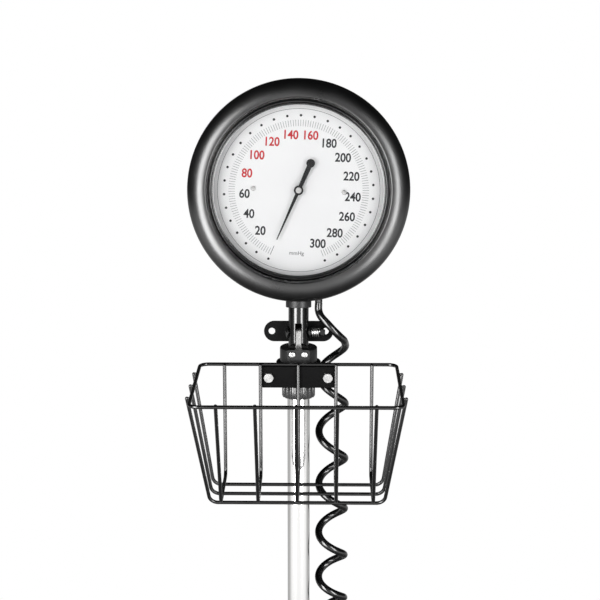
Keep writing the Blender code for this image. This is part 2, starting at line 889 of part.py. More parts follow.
def make_bracket(stand):
    """The basket's front plate and the strap that grips the clamp body, with two bolts."""
    bracket = holder("bracket", stand, (0, 0, bracket_bottom))
    plate_outline = []
    quarter = TURN / 4
    inner_x = bracket_half_width - bracket_corner
    inner_z = bracket_height - bracket_corner
    for centre, start in (
        ((inner_x, bracket_corner), -quarter),
        ((inner_x, inner_z), 0),
        ((-inner_x, inner_z), quarter),
        ((-inner_x, bracket_corner), 2 * quarter),
    ):
        plate_outline += arc(centre, bracket_corner, start, start + quarter, 3)
    plate = turned_to(prism(plate_outline, -bracket_back, -bracket_front), "-Y")
    middle = bracket_height / 2
    hole_at = basket_bolt_spacing / 2
    ear_front = bracket_back + clearance
    ear_back = ear_front + bracket_thickness
    inside = mast_head_radius + clearance
    outside = inside + bracket_thickness
    wide = bracket_half_width
    strap_outline = [(wide, ear_front), (wide, ear_back), (outside, ear_back)]
    strap_outline += arc((0, 0), outside, 0, TURN / 2, 12)
    strap_outline += [(-outside, ear_back), (-wide, ear_back), (-wide, ear_front), (-inside, ear_front)]
    strap_outline += arc((0, 0), inside, TURN / 2, 0, 12)
    strap_outline.append((inside, ear_front))
    strap = prism(strap_outline, 0, bracket_height)
    hole_front = -bracket_front + overrun
    hole_back = -ear_back - overrun
    plate_holes = []
    strap_holes = []
    for x in (-hole_at, hole_at):
        for holes in (plate_holes, strap_holes):
            hole = rod(basket_bolt_radius + clearance, hole_back, hole_front, small_steps)
            holes.append(moved(turned_to(hole, "-Y"), x, 0, middle))
    piece("basket_plate", cut(plate, *plate_holes), black_paint(), bracket)
    piece("basket_strap", cut(strap, *strap_holes), black_paint(), bracket)
    seat = -bracket_front + clearance
    bolt_end = -ear_back - basket_bolt_past_ear
    for number, x in enumerate((-hole_at, hole_at), 1):
        bolt = united(
            hexagon(basket_bolt_head_radius, seat, seat + basket_bolt_head_height),
            rod(basket_bolt_radius, bolt_end, seat + basket_bolt_head_height / 2, small_steps),
        )
        piece(f"basket_bolt_{number}", turned_to(bolt, "-Y"), zinc(), bracket, (x, 0, middle))


def make_basket(stand):
    """Wires laid as they are welded: cross wires inside the rim, long wires outside and under them."""
    basket = holder("basket", stand, (0, 0, basket_bottom))
    half = rim_width / 2
    corners = ((half, rim_back), (half, rim_front), (-half, rim_front), (-half, rim_back))
    rim = []
    for i, corner in enumerate(corners):
        before = Vector(corners[i - 1])
        after = Vector(corners[(i + 1) % 4])
        route = rounded_route(
            [(*before, basket_height), (*corner, basket_height), (*after, basket_height)], rim_corner, 3
        )
        rim += route[1:-1]
    tube_along("basket_rim", rim, wire, 1, black_paint(), basket, closed=True)

    top = basket_height + wire_past_rim
    slope = (rim_depth - 2 * wire_pitch - basket_bottom_depth) / basket_height
    front_bottom = cross_wire_back - basket_bottom_depth
    for number, x in enumerate((-outer_wire_x, -inner_wire_x, 0, inner_wire_x, outer_wire_x), 1):
        corners = [
            (x, cross_wire_back, top),
            (x, cross_wire_back, 0),
            (x, front_bottom, 0),
            (x, cross_wire_front - slope * wire_past_rim, top),
        ]
        route = rounded_route(corners, wire_bend)
        tube_along(f"basket_cross_wire_{number}", route, wire, 1, black_paint(), basket)

    side = half + wire_pitch
    for number, (high_share, low_share) in enumerate(zip(long_wire_top_shares, long_wire_bottom_shares), 1):
        high_y = rim_back - rim_depth * high_share
        low_y = cross_wire_back - basket_bottom_depth * low_share
        corners = [
            (-side, high_y, top),
            (-long_wire_half_width, low_y, -wire_pitch),
            (long_wire_half_width, low_y, -wire_pitch),
            (side, high_y, top),
        ]
        route = rounded_route(corners, wire_bend)
        tube_along(f"basket_long_wire_{number}", route, wire, 1, black_paint(), basket)


def make_neck(head):
    """The slotted fork, the plate behind it and the friction pivot; the head's origin is the pivot's axis."""
    top = gauge_rise - boss_bottom + fork_insert
    body = rod(fork_radius, -fork_bottom_radius, top)
    foot_round = turned_to(rod(fork_bottom_radius, -fork_radius - overrun, fork_radius + overrun), "X")
    above = block(
        (-fork_radius - overrun, -fork_bottom_radius - overrun, 0),
        (fork_radius + overrun, fork_bottom_radius + overrun, top + overrun),
    )
    deep = fork_radius + overrun
    under = -fork_bottom_radius - overrun
    slot = block((-slot_width / 2, -deep, under), (slot_width / 2, deep, slot_above_pivot))
    seat = fork_radius - plate_flat_depth
    half_height = plate_height / 2 + clearance
    back_flat = block((-deep, seat, -half_height), (deep, deep, half_height))
    pin_hole = turned_to(rod(pivot_pin_radius + clearance, -deep, deep, small_steps), "X")
    fork = cut(common(body, united(foot_round, above)), slot, back_flat, pin_hole)
    piece("fork", fork, black_paint(), head)

    outline = obround(plate_hole_spacing / 2 + plate_end, plate_height / 2)
    holes = []
    for x in (-plate_hole_spacing / 2, plate_hole_spacing / 2):
        holes.append(moved(rod(plate_hole_radius, -overrun, plate_thickness + overrun, small_steps), x))
    plate = turned_to(cut(prism(outline, 0, plate_thickness), *holes), "-Y")
    piece("hanger_plate", moved(plate, 0, seat + clearance + plate_thickness), black_paint(), head)

    side = fork_radius + clearance
    washer_end = side + washer_thickness
    spring_start = washer_end + clearance
    nut_start = spring_start + spring_length + clearance
    nut_end = nut_start + nut_height
    bolt = [(0, -side - pivot_head_height)]
    for across, high in pivot_head_shares:
        bolt.append((pivot_head_radius * across, -side - pivot_head_height * high))
    bolt += [(pivot_head_radius, -side), (pivot_pin_radius, -side)]
    bolt += [(pivot_pin_radius, nut_end + pin_past_nut), (0, nut_end + pin_past_nut)]
    piece("pivot_bolt", turned_to(turned(bolt, small_steps), "X"), black_paint(), head)
    bore = pivot_pin_radius + clearance
    washer = pipe(washer_radius, bore, side, washer_end, small_steps)
    piece("pivot_washer", turned_to(washer, "X"), black_paint(), head)
    nut_hole = rod(bore, nut_start - overrun, nut_end + overrun, small_steps)
    nut = cut(hexagon(nut_radius, nut_start, nut_end), nut_hole)
    piece("pivot_nut", turned_to(nut, "X"), chrome(), head)
    make_spring(head, spring_start)


def make_spring(head, start):
    """The pivot's compression spring, one unbroken wire."""
    radius = spring_outer_radius - spring_wire / 2
    pitch = (spring_length - spring_wire) / spring_curls
    route = []
    for i in range(int(spring_curls * points_per_turn) + 1):
        turn = i / points_per_turn
        angle = TURN * turn
        across = start + spring_wire / 2 + pitch * turn
        route.append((across, radius * math.cos(angle), radius * math.sin(angle)))
    tube_along("pivot_spring", route, spring_wire, 1, chrome(), head)
    gap = least_gap(route, spring_wire, points_per_turn // 2)
    print(f"pivot_spring: least gap between curls {gap * 1000:.2f} mm")


def bezel_profile():
    """The ring's section: a rounded front, a seat for the lens and a groove behind for the case's rim."""
    front = []
    for a in np.linspace(0, TURN / 4, 5):
        front.append(
            (
                bezel_crest_radius + (bezel_radius - bezel_crest_radius) * math.cos(a),
                bezel_side_top + (bezel_crest - bezel_side_top) * math.sin(a),
            )
        )
    for a in np.linspace(0, TURN / 4, 5)[1:]:
        front.append(
            (
                bezel_crest_radius - (bezel_crest_radius - bezel_bore_radius) * math.sin(a),
                bezel_inner_edge + (bezel_crest - bezel_inner_edge) * math.cos(a),
            )
        )
    groove_outer = case_radius + clearance
    groove_inner = case_radius - case_wall - clearance
    groove_top = case_front + clearance
    return (
        [(bezel_radius, bezel_back)]
        + front
        + [
            (bezel_bore_radius, lens_seat),
            (lens_shelf_radius, lens_seat),
            (lens_shelf_radius, bezel_back),
            (groove_inner, bezel_back),
            (groove_inner, groove_top),
            (groove_outer, groove_top),
            (groove_outer, bezel_back),
        ]
    )


def dish(radius, front, corner, back):
    """Points from the front edge of the case's wall round to the flat of its back."""
    centre = (case_radius - case_taper - case_corner, case_corner - case_back)
    straight_end = bezel_back - clearance
    return [(radius, front), (radius, straight_end)] + arc(centre, corner, 0, -TURN / 4, 3) + [(0, back)]


def case_mesh():
    """The housing: a dished shell with a neck boss, a hose hole and two posts for the dial."""
    outer = dish(case_radius, case_front, case_corner, -case_back)
    inner = dish(case_radius - case_wall, case_front, case_corner - case_wall, case_wall - case_back)
    shell = turned(outer[::-1] + inner, large_steps)
    boss = turned_to(rod(boss_radius, boss_inside, boss_bottom), "-Y")
    post_back = case_wall / 2 - case_back
    post_front = dial_front - dial_thickness - clearance
    hole = dial_screw_radius + clearance
    hole_end = dial_front - dial_screw_length
    post = [(0, post_back), (dial_post_radius, post_back), (dial_post_radius, post_front)]
    post += [(hole, post_front), (hole, hole_end), (0, hole_end)]
    posts = [moved(turned(post, small_steps), *place) for place in dial_screw_places()]
    fork_bore = rod(fork_radius + clearance, boss_bottom - fork_insert - clearance, boss_bottom + overrun)
    hose_hole = rod(nipple_radius + clearance, socket_block_top, case_radius + overrun, small_steps)
    hose_hole = moved(turned_to(hose_hole, "-Y"), nipple_offset, 0, -link_plane)
    return cut(united(shell, boss, *posts), turned_to(fork_bore, "-Y"), hose_hole)


def dial_screw_places():
    """The dial's two screws, left and right, on the plate as it is turned."""
    across = dial_screw_distance * math.cos(dial_turn)
    rise = dial_screw_distance * math.sin(dial_turn)
    return ((-across, rise), (across, -rise))


def make_gauge(head):
    """The housing, window, dial and pointer. In the gauge's frame X is right, Y up and Z out of the dial."""
    gauge = holder("gauge", head, (0, 0, gauge_rise), (TURN / 4, 0, 0))
    piece("bezel", turned(bezel_profile(), large_steps), black_plastic(), gauge)
    piece("case_shell", case_mesh(), black_plastic(), gauge)
    make_window(gauge)
    make_dial(gauge)
    make_movement(gauge)
    make_capsule(gauge)


def make_window(gauge):
    """The flat lens on its seat in the bezel, and the stepped ring that holds it there."""
    outside = bezel_bore_radius - clearance
    back = lens_seat + clearance
    front = back + lens_thickness
    piece("lens", rod(outside, back, front, large_steps), clear_window(), gauge)
    bottom = front + clearance
    width = outside - lens_ring_bore
    ring = [(lens_ring_bore, bottom), (outside, bottom)]
    for across, high in lens_ring_shares:
        ring.append((outside - width * across, bottom + lens_ring_height * high))
    piece("lens_ring", turned(ring, large_steps), black_plastic(), gauge)


def make_dial(gauge):
    """The dial plate with its two screws."""
    back = dial_front - dial_thickness
    holes = [rod(dial_bore_radius, back - overrun, dial_front + overrun, small_steps)]
    for place in dial_screw_places():
        hole = rod(dial_screw_radius + clearance, back - overrun, dial_front + overrun, small_steps)
        holes.append(moved(hole, *place))
    piece("dial", cut(rod(dial_radius, back, dial_front, large_steps), *holes), dial_white(), gauge)
    seat = dial_front + clearance
    for number, (x, y) in enumerate(dial_screw_places(), 1):
        end = seat - dial_screw_length
        edge = seat + dial_screw_head_height / 2
        top = seat + dial_screw_head_height
        screw = [(0, end), (dial_screw_radius, end), (dial_screw_radius, seat)]
        screw += [(dial_screw_head_radius, seat), (dial_screw_head_radius, edge), (dial_screw_radius, top), (0, top)]
        piece(f"dial_screw_{number}", turned(screw, small_steps), zinc(), gauge, (x, y, 0))


def tooth_flank(teeth, addendum):
    """Half a tooth from root to tip on an involute, as (radius, angle from the tooth's middle)."""
    pitch = gear_module * teeth / 2
    base = pitch * math.cos(pressure_angle)
    root = pitch - tooth_root_depth
    half = TURN / teeth / 4 - tooth_backlash / 2 / pitch + math.tan(pressure_angle) - pressure_angle
    flank = [(root, half)] if root < base else []
    for radius in np.linspace(max(root, base), pitch + addendum, 3):
        opening = math.acos(min(1.0, base / radius))
        flank.append((radius, half - math.tan(opening) + opening))
    return flank


def toothed_arc(teeth, addendum, first, count):
    """Outline points of `count` teeth, the first one centred on the bearing `first`."""
    flank = tooth_flank(teeth, addendum)
    outline = []
    for i in range(count):
        middle = first + TURN * i / teeth
        sides = [(radius, middle - half) for radius, half in flank]
        sides += [(radius, middle + half) for radius, half in reversed(flank)]
        outline += [(radius * math.cos(bearing), radius * math.sin(bearing)) for radius, bearing in sides]
    return outline


def make_movement(gauge):
    """Two plates on pillars that carry the pinion and the sector, with the hairspring in front of them."""
    turn = holder("pointer_turn", gauge)
    piece("pointer", pointer_mesh(), black_paint(), turn)
    teeth = prism(
        toothed_arc(pinion_teeth, pinion_addendum, sector_bearing, pinion_teeth),
        -sector_plane - pinion_face / 2,
        pinion_face / 2 - sector_plane,
    )
    hub_floor_height = dial_front + pointer_height + pointer_bore_depth
    arbor = rod(arbor_radius, -frame_rear - frame_plate, hub_floor_height - clearance, small_steps)
    piece("pinion_arbor", united(teeth, arbor), zinc(), turn)

    centre = (gear_distance * math.cos(sector_bearing), gear_distance * math.sin(sector_bearing))
    swing = holder("sector_swing", gauge, (*centre, 0))
    piece("sector_gear", sector_mesh(), brass(), swing)
    piece("movement_frame", movement_frame_mesh(centre), brass(), gauge)
    piece("hairspring", hairspring_mesh(), zinc(), gauge)


def pointer_mesh():
    """The tapered needle with its round tail weight and its hub, pointing to zero."""
    under = dial_front + pointer_height
    low = under + (pointer_hub_height - pointer_thickness) / 2
    high = low + pointer_thickness
    half_tip = pointer_tip_width / 2
    half_root = pointer_root_width / 2
    half_tail = pointer_tail_width / 2
    needle = [(-half_tail, -pointer_tail), (half_tail, -pointer_tail), (half_root, 0)]
    needle += [(half_tip, pointer_length), (-half_tip, pointer_length), (-half_root, 0)]
    ball = moved(rod(pointer_ball_radius, low - pointer_thickness / 4, high, small_steps), 0, -pointer_tail)
    hub = edged_rod(pointer_hub_radius, under, under + pointer_hub_height, pointer_thickness, small_steps)
    bore = rod(arbor_radius + clearance, under - overrun, under + pointer_bore_depth, small_steps)
    return turned_about_z(cut(united(prism(needle, low, high), ball, hub), bore), -zero_bearing)


def sector_mesh():
    """The toothed sector on its arbor, with the tail and pin that the link pushes."""
    back = -sector_plane - sector_thickness / 2
    front = sector_thickness / 2 - sector_plane
    tooth_step = TURN / sector_teeth
    first = sector_bearing + TURN / 2 - tooth_step * (teeth_cut - teeth_past_zero - 0.5)
    last = first + tooth_step * (teeth_cut - 1)
    web = [(sector_hub_radius * math.sin(first), -sector_hub_radius * math.cos(first))]
    web += toothed_arc(sector_teeth, sector_addendum, first, teeth_cut)
    web.append((-sector_hub_radius * math.sin(last), sector_hub_radius * math.cos(last)))
    tail = (tail_length * math.cos(tail_rest), tail_length * math.sin(tail_rest))
    arm = prism(rounded_hull([(0, 0), tail], tail_end_radius), back, front)
    pin_end = link_thickness / 2 + clearance - link_plane
    pin = moved(rod(link_pin_radius, -sector_plane, pin_end, small_steps), *tail)
    hub = rod(sector_hub_radius, -sector_plane - pinion_face / 2, pinion_face / 2 - sector_plane, small_steps)
    arbor = rod(arbor_radius, -frame_rear - frame_plate, -frame_front, small_steps)
    return united(prism(web, back, front), arm, pin, hub, arbor)


def movement_frame_mesh(centre):
    """Two plates joined by pillars that stand on the case's back, with the hairspring's stud on the front."""
    places = [(gear_distance * across, gear_distance * up) for across, up in frame_pillar_shares]
    outline = rounded_hull(places, frame_corner_radius)
    rear = prism(outline, -frame_rear - frame_plate, -frame_rear)
    front = prism(outline, -frame_front - frame_plate, -frame_front)
    foot = case_wall + clearance - case_back
    pillars = [moved(rod(pillar_radius, foot, -frame_front, small_steps), *place) for place in places]
    stud_reach = hairspring_reach + hairspring_strip / 2 + clearance + stud_radius
    stud_top = hairspring_height / 2 + hairspring_plane
    stud = moved(rod(stud_radius, -frame_front - frame_plate / 2, stud_top, small_steps), stud_reach)
    bores = []
    for place in ((0, 0), centre):
        bore = rod(arbor_radius + clearance, -frame_rear - frame_plate - overrun, overrun, small_steps)
        bores.append(moved(bore, *place))
    return cut(united(rear, front, stud, *pillars), *bores)


def hairspring_mesh():
    """A flat spiral strip whose outer end lies against the stud."""
    steps = hairspring_turns * hairspring_steps
    inner = arbor_radius + clearance + hairspring_strip / 2
    middle = [inner + (hairspring_reach - inner) * i / steps for i in range(steps + 1)]
    bearings = [TURN * hairspring_turns * i / steps for i in range(steps + 1)]
    outline = []
    for offset, order in ((hairspring_strip / 2, 1), (-hairspring_strip / 2, -1)):
        side = [
            ((radius + offset) * math.cos(bearing), (radius + offset) * math.sin(bearing))
            for radius, bearing in zip(middle, bearings)
        ]
        outline += side[::order]
    half = hairspring_height / 2
    return prism(outline, hairspring_plane - half, hairspring_plane + half)


def capsule_skin_profile(outside):
    """Half the capsule's skin from rim to middle, rippled, as (radius, height) off the seam."""
    base = capsule_skin if outside else 0.0
    profile = [(capsule_radius, clearance / 2 + base)]
    for i, share in enumerate(capsule_ripple_shares):
        ripple = capsule_ripple if i % 2 else 0.0
        profile.append((capsule_radius * share, capsule_dish - capsule_skin + base - ripple))
    return profile


def make_capsule(gauge):
    """The pressure capsule, the link that its lid pushes, and the socket block that feeds it."""
    upright = (-TURN / 4, 0, 0)
    seam = holder("capsule", gauge, (nipple_offset, -capsule_seam, -link_plane), upright)
    under = capsule_skin_profile(False)
    over = capsule_skin_profile(True)
    block_face = capsule_seam - socket_block_top + clearance
    base = [(0, capsule_dish - capsule_skin)] + under[::-1] + over
    base += [(capsule_stub_radius, capsule_dish), (capsule_stub_radius, -block_face), (0, -block_face)]
    base_mesh = turned(base, capsule_steps)
    base_mesh.transform(Matrix.Rotation(TURN / 2, 4, "X"))
    piece("capsule_base", base_mesh, brass(), seam)

    rise = holder("capsule_lid_rise", seam)
    post_end = capsule_seam - post_top
    lid = [(0, capsule_dish - capsule_skin)] + under[::-1] + over
    lid += [(post_radius, capsule_dish), (post_radius, post_end), (0, post_end)]
    slot_half = link_thickness / 2 + clearance
    wide = post_radius + overrun
    slot = block((-wide, -slot_half, post_end - post_slot_depth), (wide, slot_half, post_end + overrun))
    piece("capsule_lid", cut(turned(lid, capsule_steps), slot), brass(), rise)
    piece("link", link_mesh(post_end), zinc(), rise)
    piece("hose_nipple", nipple_mesh(), brass(), gauge)


def link_mesh(post_end):
    """The flat bar from the slot in the lid's post to the sector's pin, in the capsule's own frame."""
    pivot_x = gear_distance * math.cos(sector_bearing) + tail_length * (1 + math.cos(tail_rest)) / 2
    eye_x = pivot_x - nipple_offset
    eye_up = capsule_seam + gear_distance * math.sin(sector_bearing) + tail_length * math.sin(tail_rest)
    foot = post_end - post_slot_depth + clearance + link_width / 2
    outline = rounded_hull([(0, foot), (eye_x, eye_up)], link_width / 2)
    bar = prism(outline, -link_thickness / 2, link_thickness / 2)
    eye = rod(link_pin_radius + link_eye_clearance, -link_thickness, link_thickness, small_steps)
    return turned_to(cut(bar, moved(eye, eye_x, eye_up)), "-Y")


def nipple_mesh():
    """The socket block, cut to the case's curve, with the stem that the hose is pushed up to."""
    wall_rear = case_radius - case_taper - case_wall - clearance
    wall_front = case_radius - case_wall - clearance
    rear = case_corner - case_back
    inside = turned([(0, rear), (wall_rear, rear), (wall_front, case_front), (0, case_front)], large_steps)
    half = socket_block_width / 2
    deep = socket_block_depth / 2
    body = block(
        (nipple_offset - half, -case_radius, -link_plane - deep),
        (nipple_offset + half, -socket_block_top, deep - link_plane),
    )
    stem = turned_to(rod(nipple_radius, socket_block_top + overrun, nipple_end, small_steps), "-Y")
    return united(common(body, inside), moved(stem, nipple_offset, 0, -link_plane))


def make_hose(stand):
    """A lead from the nipple, the stretched and closed curls, a tail that hangs down, and its connector."""
    pivot = Vector((0, 0, pivot_height))
    lean = Matrix.Rotation(-head_tilt, 3, "X")
    start = pivot + lean @ Vector((nipple_offset, link_plane, gauge_rise - nipple_end - clearance))
    down = lean @ Vector((0, 0, -hose))
    centre = pivot + Vector((coil_centre_x, coil_centre_y, -coil_start_drop))

    coil = []
    turns = stretched_turns + closed_turns
    for i in range(turns * points_per_turn + 1):
        turn = i / points_per_turn
        open_turn = min(turn, stretched_turns)
        fall = top_pitch * open_turn - (top_pitch - closed_pitch) * open_turn**2 / stretched_turns / 2
        fall += closed_pitch * (turn - open_turn)
        angle = TURN * turn
        coil.append(centre + Vector((coil_radius * math.cos(angle), coil_radius * math.sin(angle), -fall)))
    gap = least_gap(coil, hose, points_per_turn // 2)
    print(f"tube_coil: least gap between curls {gap * 1000:.2f} mm")

    into = Vector((0, TURN * coil_radius, -top_pitch)).normalized()
    first = coil[0]
    joint = first - into * hose
    lead = [start, start + down] + [pivot + Vector(p) for p in lead_points]
    lead += [joint - into * (hose + clearance), joint - into * clearance]
    tube_along("tube_lead", smooth_route(lead, 3), hose, 2, black_hose(), stand)

    tail = []
    for a in np.linspace(0, TURN / 4, 5)[1:]:
        tail.append(coil[-1] + Vector((0, tail_bend * math.sin(a), tail_bend * (math.cos(a) - 1))))
    tail.append(tail[-1] - Vector((0, 0, tail_straight)))
    tube_along("tube_coil", [joint, *coil, *tail], hose, 1, black_hose(), stand)

    top = -clearance
    bottom = top - connector_length
    shoulder = connector_length * connector_shoulder_share
    slope = connector_length * connector_slope_share
    waist = connector_radius * connector_waist_share
    profile = [(0, top), (connector_radius, top), (connector_radius, top - shoulder)]
    profile += [(waist, top - shoulder - slope), (waist, bottom + shoulder + slope)]
    profile += [(connector_radius, bottom + shoulder), (connector_radius, bottom)]
    tip_end = bottom - connector_tip_length
    profile += [(connector_tip_radius, bottom), (connector_tip_radius, tip_end), (0, tip_end)]
    piece("hose_connector", turned(profile, small_steps), zinc(), stand, tail[-1])


def main():
    for old in list(bpy.data.objects):
        bpy.data.objects.remove(old)
    stand = holder("stand_axis", location=(0, pole_y, 0))
    make_base(stand)
    make_poles(stand)
    make_mast_head(stand)
    make_bracket(stand)
    make_basket(stand)
    head = holder("head_tilt", stand, (0, 0, pivot_height), (-head_tilt, 0, 0))
    make_neck(head)
    make_gauge(head)
    make_hose(stand)


main()
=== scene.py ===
"""The stand sphygmomanometer, dressed and lit for its photograph.

Metres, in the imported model's frame: the floor is z = 0 and the gauge faces -Y. "Stand" coordinates have their
origin where the pole's axis meets the floor, "head" ones on the tilt axis with Z along the neck, and "gauge"
ones at the middle of the housing with X right, Y up and Z out of the dial.
"""
import json
import math

import bmesh
import bpy
import numpy as np
from mathutils import Matrix, Vector


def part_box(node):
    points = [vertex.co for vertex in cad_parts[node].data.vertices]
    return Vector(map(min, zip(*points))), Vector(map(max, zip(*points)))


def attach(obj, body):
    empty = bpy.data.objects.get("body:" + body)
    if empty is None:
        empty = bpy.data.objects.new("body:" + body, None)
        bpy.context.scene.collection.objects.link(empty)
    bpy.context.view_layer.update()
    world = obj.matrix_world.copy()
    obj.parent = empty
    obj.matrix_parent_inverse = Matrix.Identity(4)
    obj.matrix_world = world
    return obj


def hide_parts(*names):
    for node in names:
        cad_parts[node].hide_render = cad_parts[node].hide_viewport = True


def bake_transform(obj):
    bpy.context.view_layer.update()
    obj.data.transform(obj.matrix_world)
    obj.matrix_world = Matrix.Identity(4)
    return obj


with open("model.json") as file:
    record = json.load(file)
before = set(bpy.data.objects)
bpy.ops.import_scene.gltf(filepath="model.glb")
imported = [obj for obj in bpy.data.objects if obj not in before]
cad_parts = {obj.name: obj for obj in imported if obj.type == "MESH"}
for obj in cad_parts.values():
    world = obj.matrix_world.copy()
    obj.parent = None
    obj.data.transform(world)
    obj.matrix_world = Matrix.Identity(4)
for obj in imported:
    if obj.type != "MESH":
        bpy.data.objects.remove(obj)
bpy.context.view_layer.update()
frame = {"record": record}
joints = {joint["name"]: joint for joint in frame["record"]["behaviour"]["joints"]}

TURN = 2 * math.pi
CREASE = math.radians(32)

# Places that come from the frame
pivot = Vector(joints["head_tilt"]["pos_m"])
neck_up = Vector(joints["capsule_lid_rise"]["axis"])
lean = math.atan2(neck_up.y, neck_up.z)
stand = Matrix.Translation((0, pivot.y, 0))
head = Matrix.Translation(pivot) @ Matrix.Rotation(-lean, 4, "X")
gauge_rise = 0.1285
gauge = head @ Matrix.Translation((0, 0, gauge_rise)) @ Matrix.Rotation(TURN / 4, 4, "X")
along_x = Matrix.Rotation(TURN / 4, 4, "Y")
facing_front = Matrix.Rotation(TURN / 4, 4, "X")

# Camera, fitted to the photograph
image_side = 600
sensor_width = 0.036
focal_pixels = 1556
camera_across = 0.0190
camera_back = 1.3716
camera_over_gauge = 0.2238
camera_pitch = math.radians(13.162)
camera_yaw = math.radians(0.738)

# Steps round a full turn
large_steps = 192
pole_steps = 128
tube_steps = 96
wheel_steps = 72
small_steps = 48
spring_steps = 36
coil_steps = 32

# Rounding of edges
crisp_edge = 0.0002
fine_edge = 0.0003
soft_edge = 0.0004
cast_edge = 0.0005
collar_edge = 0.0006
stem_edge = 0.0008
worn_edge = 0.0009

# Floor
floor_radius = 6.0
floor_top = -0.0005
floor_bottom = -0.002

# Hose, as in the solids
clearance = 0.0003
overrun = 0.002
hose = 0.007
hose_sides = 20
nipple_offset = 0.0182
nipple_depth = 0.00655
nipple_end = 0.1019
coil_centre_x = 0.031
coil_centre_y = 0.0212
coil_radius = 0.0122
coil_start_drop = 0.018
stretched_turns = 16
closed_turns = 8
top_pitch = 0.058
closed_pitch = 0.00755
lead_points = (
    (0.0205, 0.0058, 0.0130),
    (0.0262, 0.0022, 0.0074),
    (0.0322, 0.0012, 0.0010),
    (0.0378, 0.0036, -0.0052),
    (0.0412, 0.0090, -0.0098),
)
lead_inset = 0.0007
tail_bend = 0.014
tail_straight = 0.020
connector_radius = 0.0046
connector_length = 0.030
connector_tip_radius = 0.0028
connector_tip_length = 0.010

# Gauge
bezel_radius = 0.100
bezel_bore_radius = 0.081
bezel_crest_radius = 0.0835
bezel_crest = 0.027
bezel_inner_edge = 0.0223
bezel_side_top = 0.0128
bezel_back = 0.012
bezel_lip = 0.0004
lens_shelf_radius = 0.0775
lens_shelf_edge = 0.0143
lens_shelf_front = 0.0141
case_radius = 0.096
case_wall = 0.0025
case_front = 0.0186
case_back = 0.025
case_corner = 0.009
case_taper = 0.003
boss_radius = 0.0116
boss_bottom = 0.1059
boss_inside = 0.084
hose_hole_radius = 0.0037
lens_front = 0.0168
lens_ring_bore = 0.0762
lens_ring_height = 0.0037
lens_ring_edge_drop = 0.0016
lens_ring_bore_drop = 0.0024
ridge_outer_foot = 0.0013
ridge_inner_foot = 0.0012
ridges = ((0.0791, 0.0009, 0.0), (0.0774, 0.0007, 0.0010))
dial_front = 0.008
dial_turn = math.radians(2.4)
dial_screw_distance = 0.0408
dial_screw_radius = 0.0022
dial_screw_height = 0.0012
dial_slot_half_width = 0.0003
dial_slot_depth = 0.0005
zero_bearing = math.radians(203.9)
full_scale_turn = math.radians(315.5)
full_scale = 300

# Dial print
print_height = 0.00004
dot_circle = 0.0672
dot_radius = 0.00115
tick_inner = 0.0574
tick_outer = 0.0632
tick_width = 0.00036
zero_mark_inner = 0.0545
zero_mark_width = 0.00042
# A painted shade line: a thin pale grey ring near the dial's edge.
shade_line_radius = 0.0733
shade_line_width = 0.0004
numeral_height = 0.0079
numeral_narrowing = 0.88
numeral_circle_across = 0.0489
numeral_circle_up = 0.0507
numeral_circle_drop = 0.0006
unit_height = 0.0034
unit_across = 0.0019
unit_drop = 0.0565
digit_share = 0.72

# Pointer
pointer_length = 0.0483
pointer_tail = 0.0265
pointer_ball_radius = 0.0039
pointer_hub_radius = 0.0043
pointer_cap_radius = 0.0028
pointer_root_width = 0.0032
pointer_tip_width = 0.0009
pointer_tail_root_width = 0.0034
pointer_tail_width = 0.0046
pointer_plane = 0.0117
pointer_thickness = 0.0007
pointer_hub_height = 0.003
pointer_under = 0.0102
pointer_shoulder = 0.0005
pointer_cap_recess = 0.0006
pointer_cap_step = 0.0001

# Neck and pivot
fork_radius = 0.0092
fork_bottom_radius = 0.0128
fork_top = 0.0372
slot_width = 0.0063
slot_above_pivot = 0.0085
pin_radius = 0.0025
pivot_head_radius = 0.0056
pivot_head_height = 0.003
washer_thickness = 0.0014
spring_length = 0.0086
spring_wire = 0.0011
spring_outer_radius = 0.0046
spring_curls = 4.5
nut_radius = 0.0047
nut_height = 0.0029
pin_past_nut = 0.0012
plate_end = 0.0072
plate_height = 0.0188
plate_thickness = 0.0025
plate_hole_spacing = 0.0491
plate_hole_radius = 0.003
plate_flat_depth = 0.001

# Clamp body, tongue and bracket
mast_head_radius = 0.017
mast_head_height = 0.0343
mast_head_edge = 0.0012
mast_socket_depth = 0.022
front_flat = 0.0137
front_flat_height = 0.0122
tongue_foot_width = 0.019
tongue_foot_height = 0.0088
tongue_thickness = 0.0056
tongue_depth = 0.0084
head_screw_spacing = 0.0114
head_screw_drop = 0.0042
head_screw_radius = 0.0031
head_screw_height = 0.0019
cross_slot_depth = 0.0009
bracket_half_width = 0.0335
bracket_thickness = 0.003
bracket_corner = 0.002
basket_bolt_spacing = 0.0534
basket_bolt_radius = 0.003
basket_bolt_head_radius = 0.0047
basket_bolt_head_height = 0.003
basket_bolt_past_ear = 0.0025
basket_bolt_in_head = 0.001

# Pole, mast and locking collar
pole_radius = 0.01025
pole_wall = 0.0012
mast_radius = 0.0075
mast_wall = 0.0012
collar_radius = 0.0151
collar_height = 0.012
collar_rib_depth = 0.0008
collar_ribs = 18
collar_lip = 0.0024
collar_chamfer = 0.0007

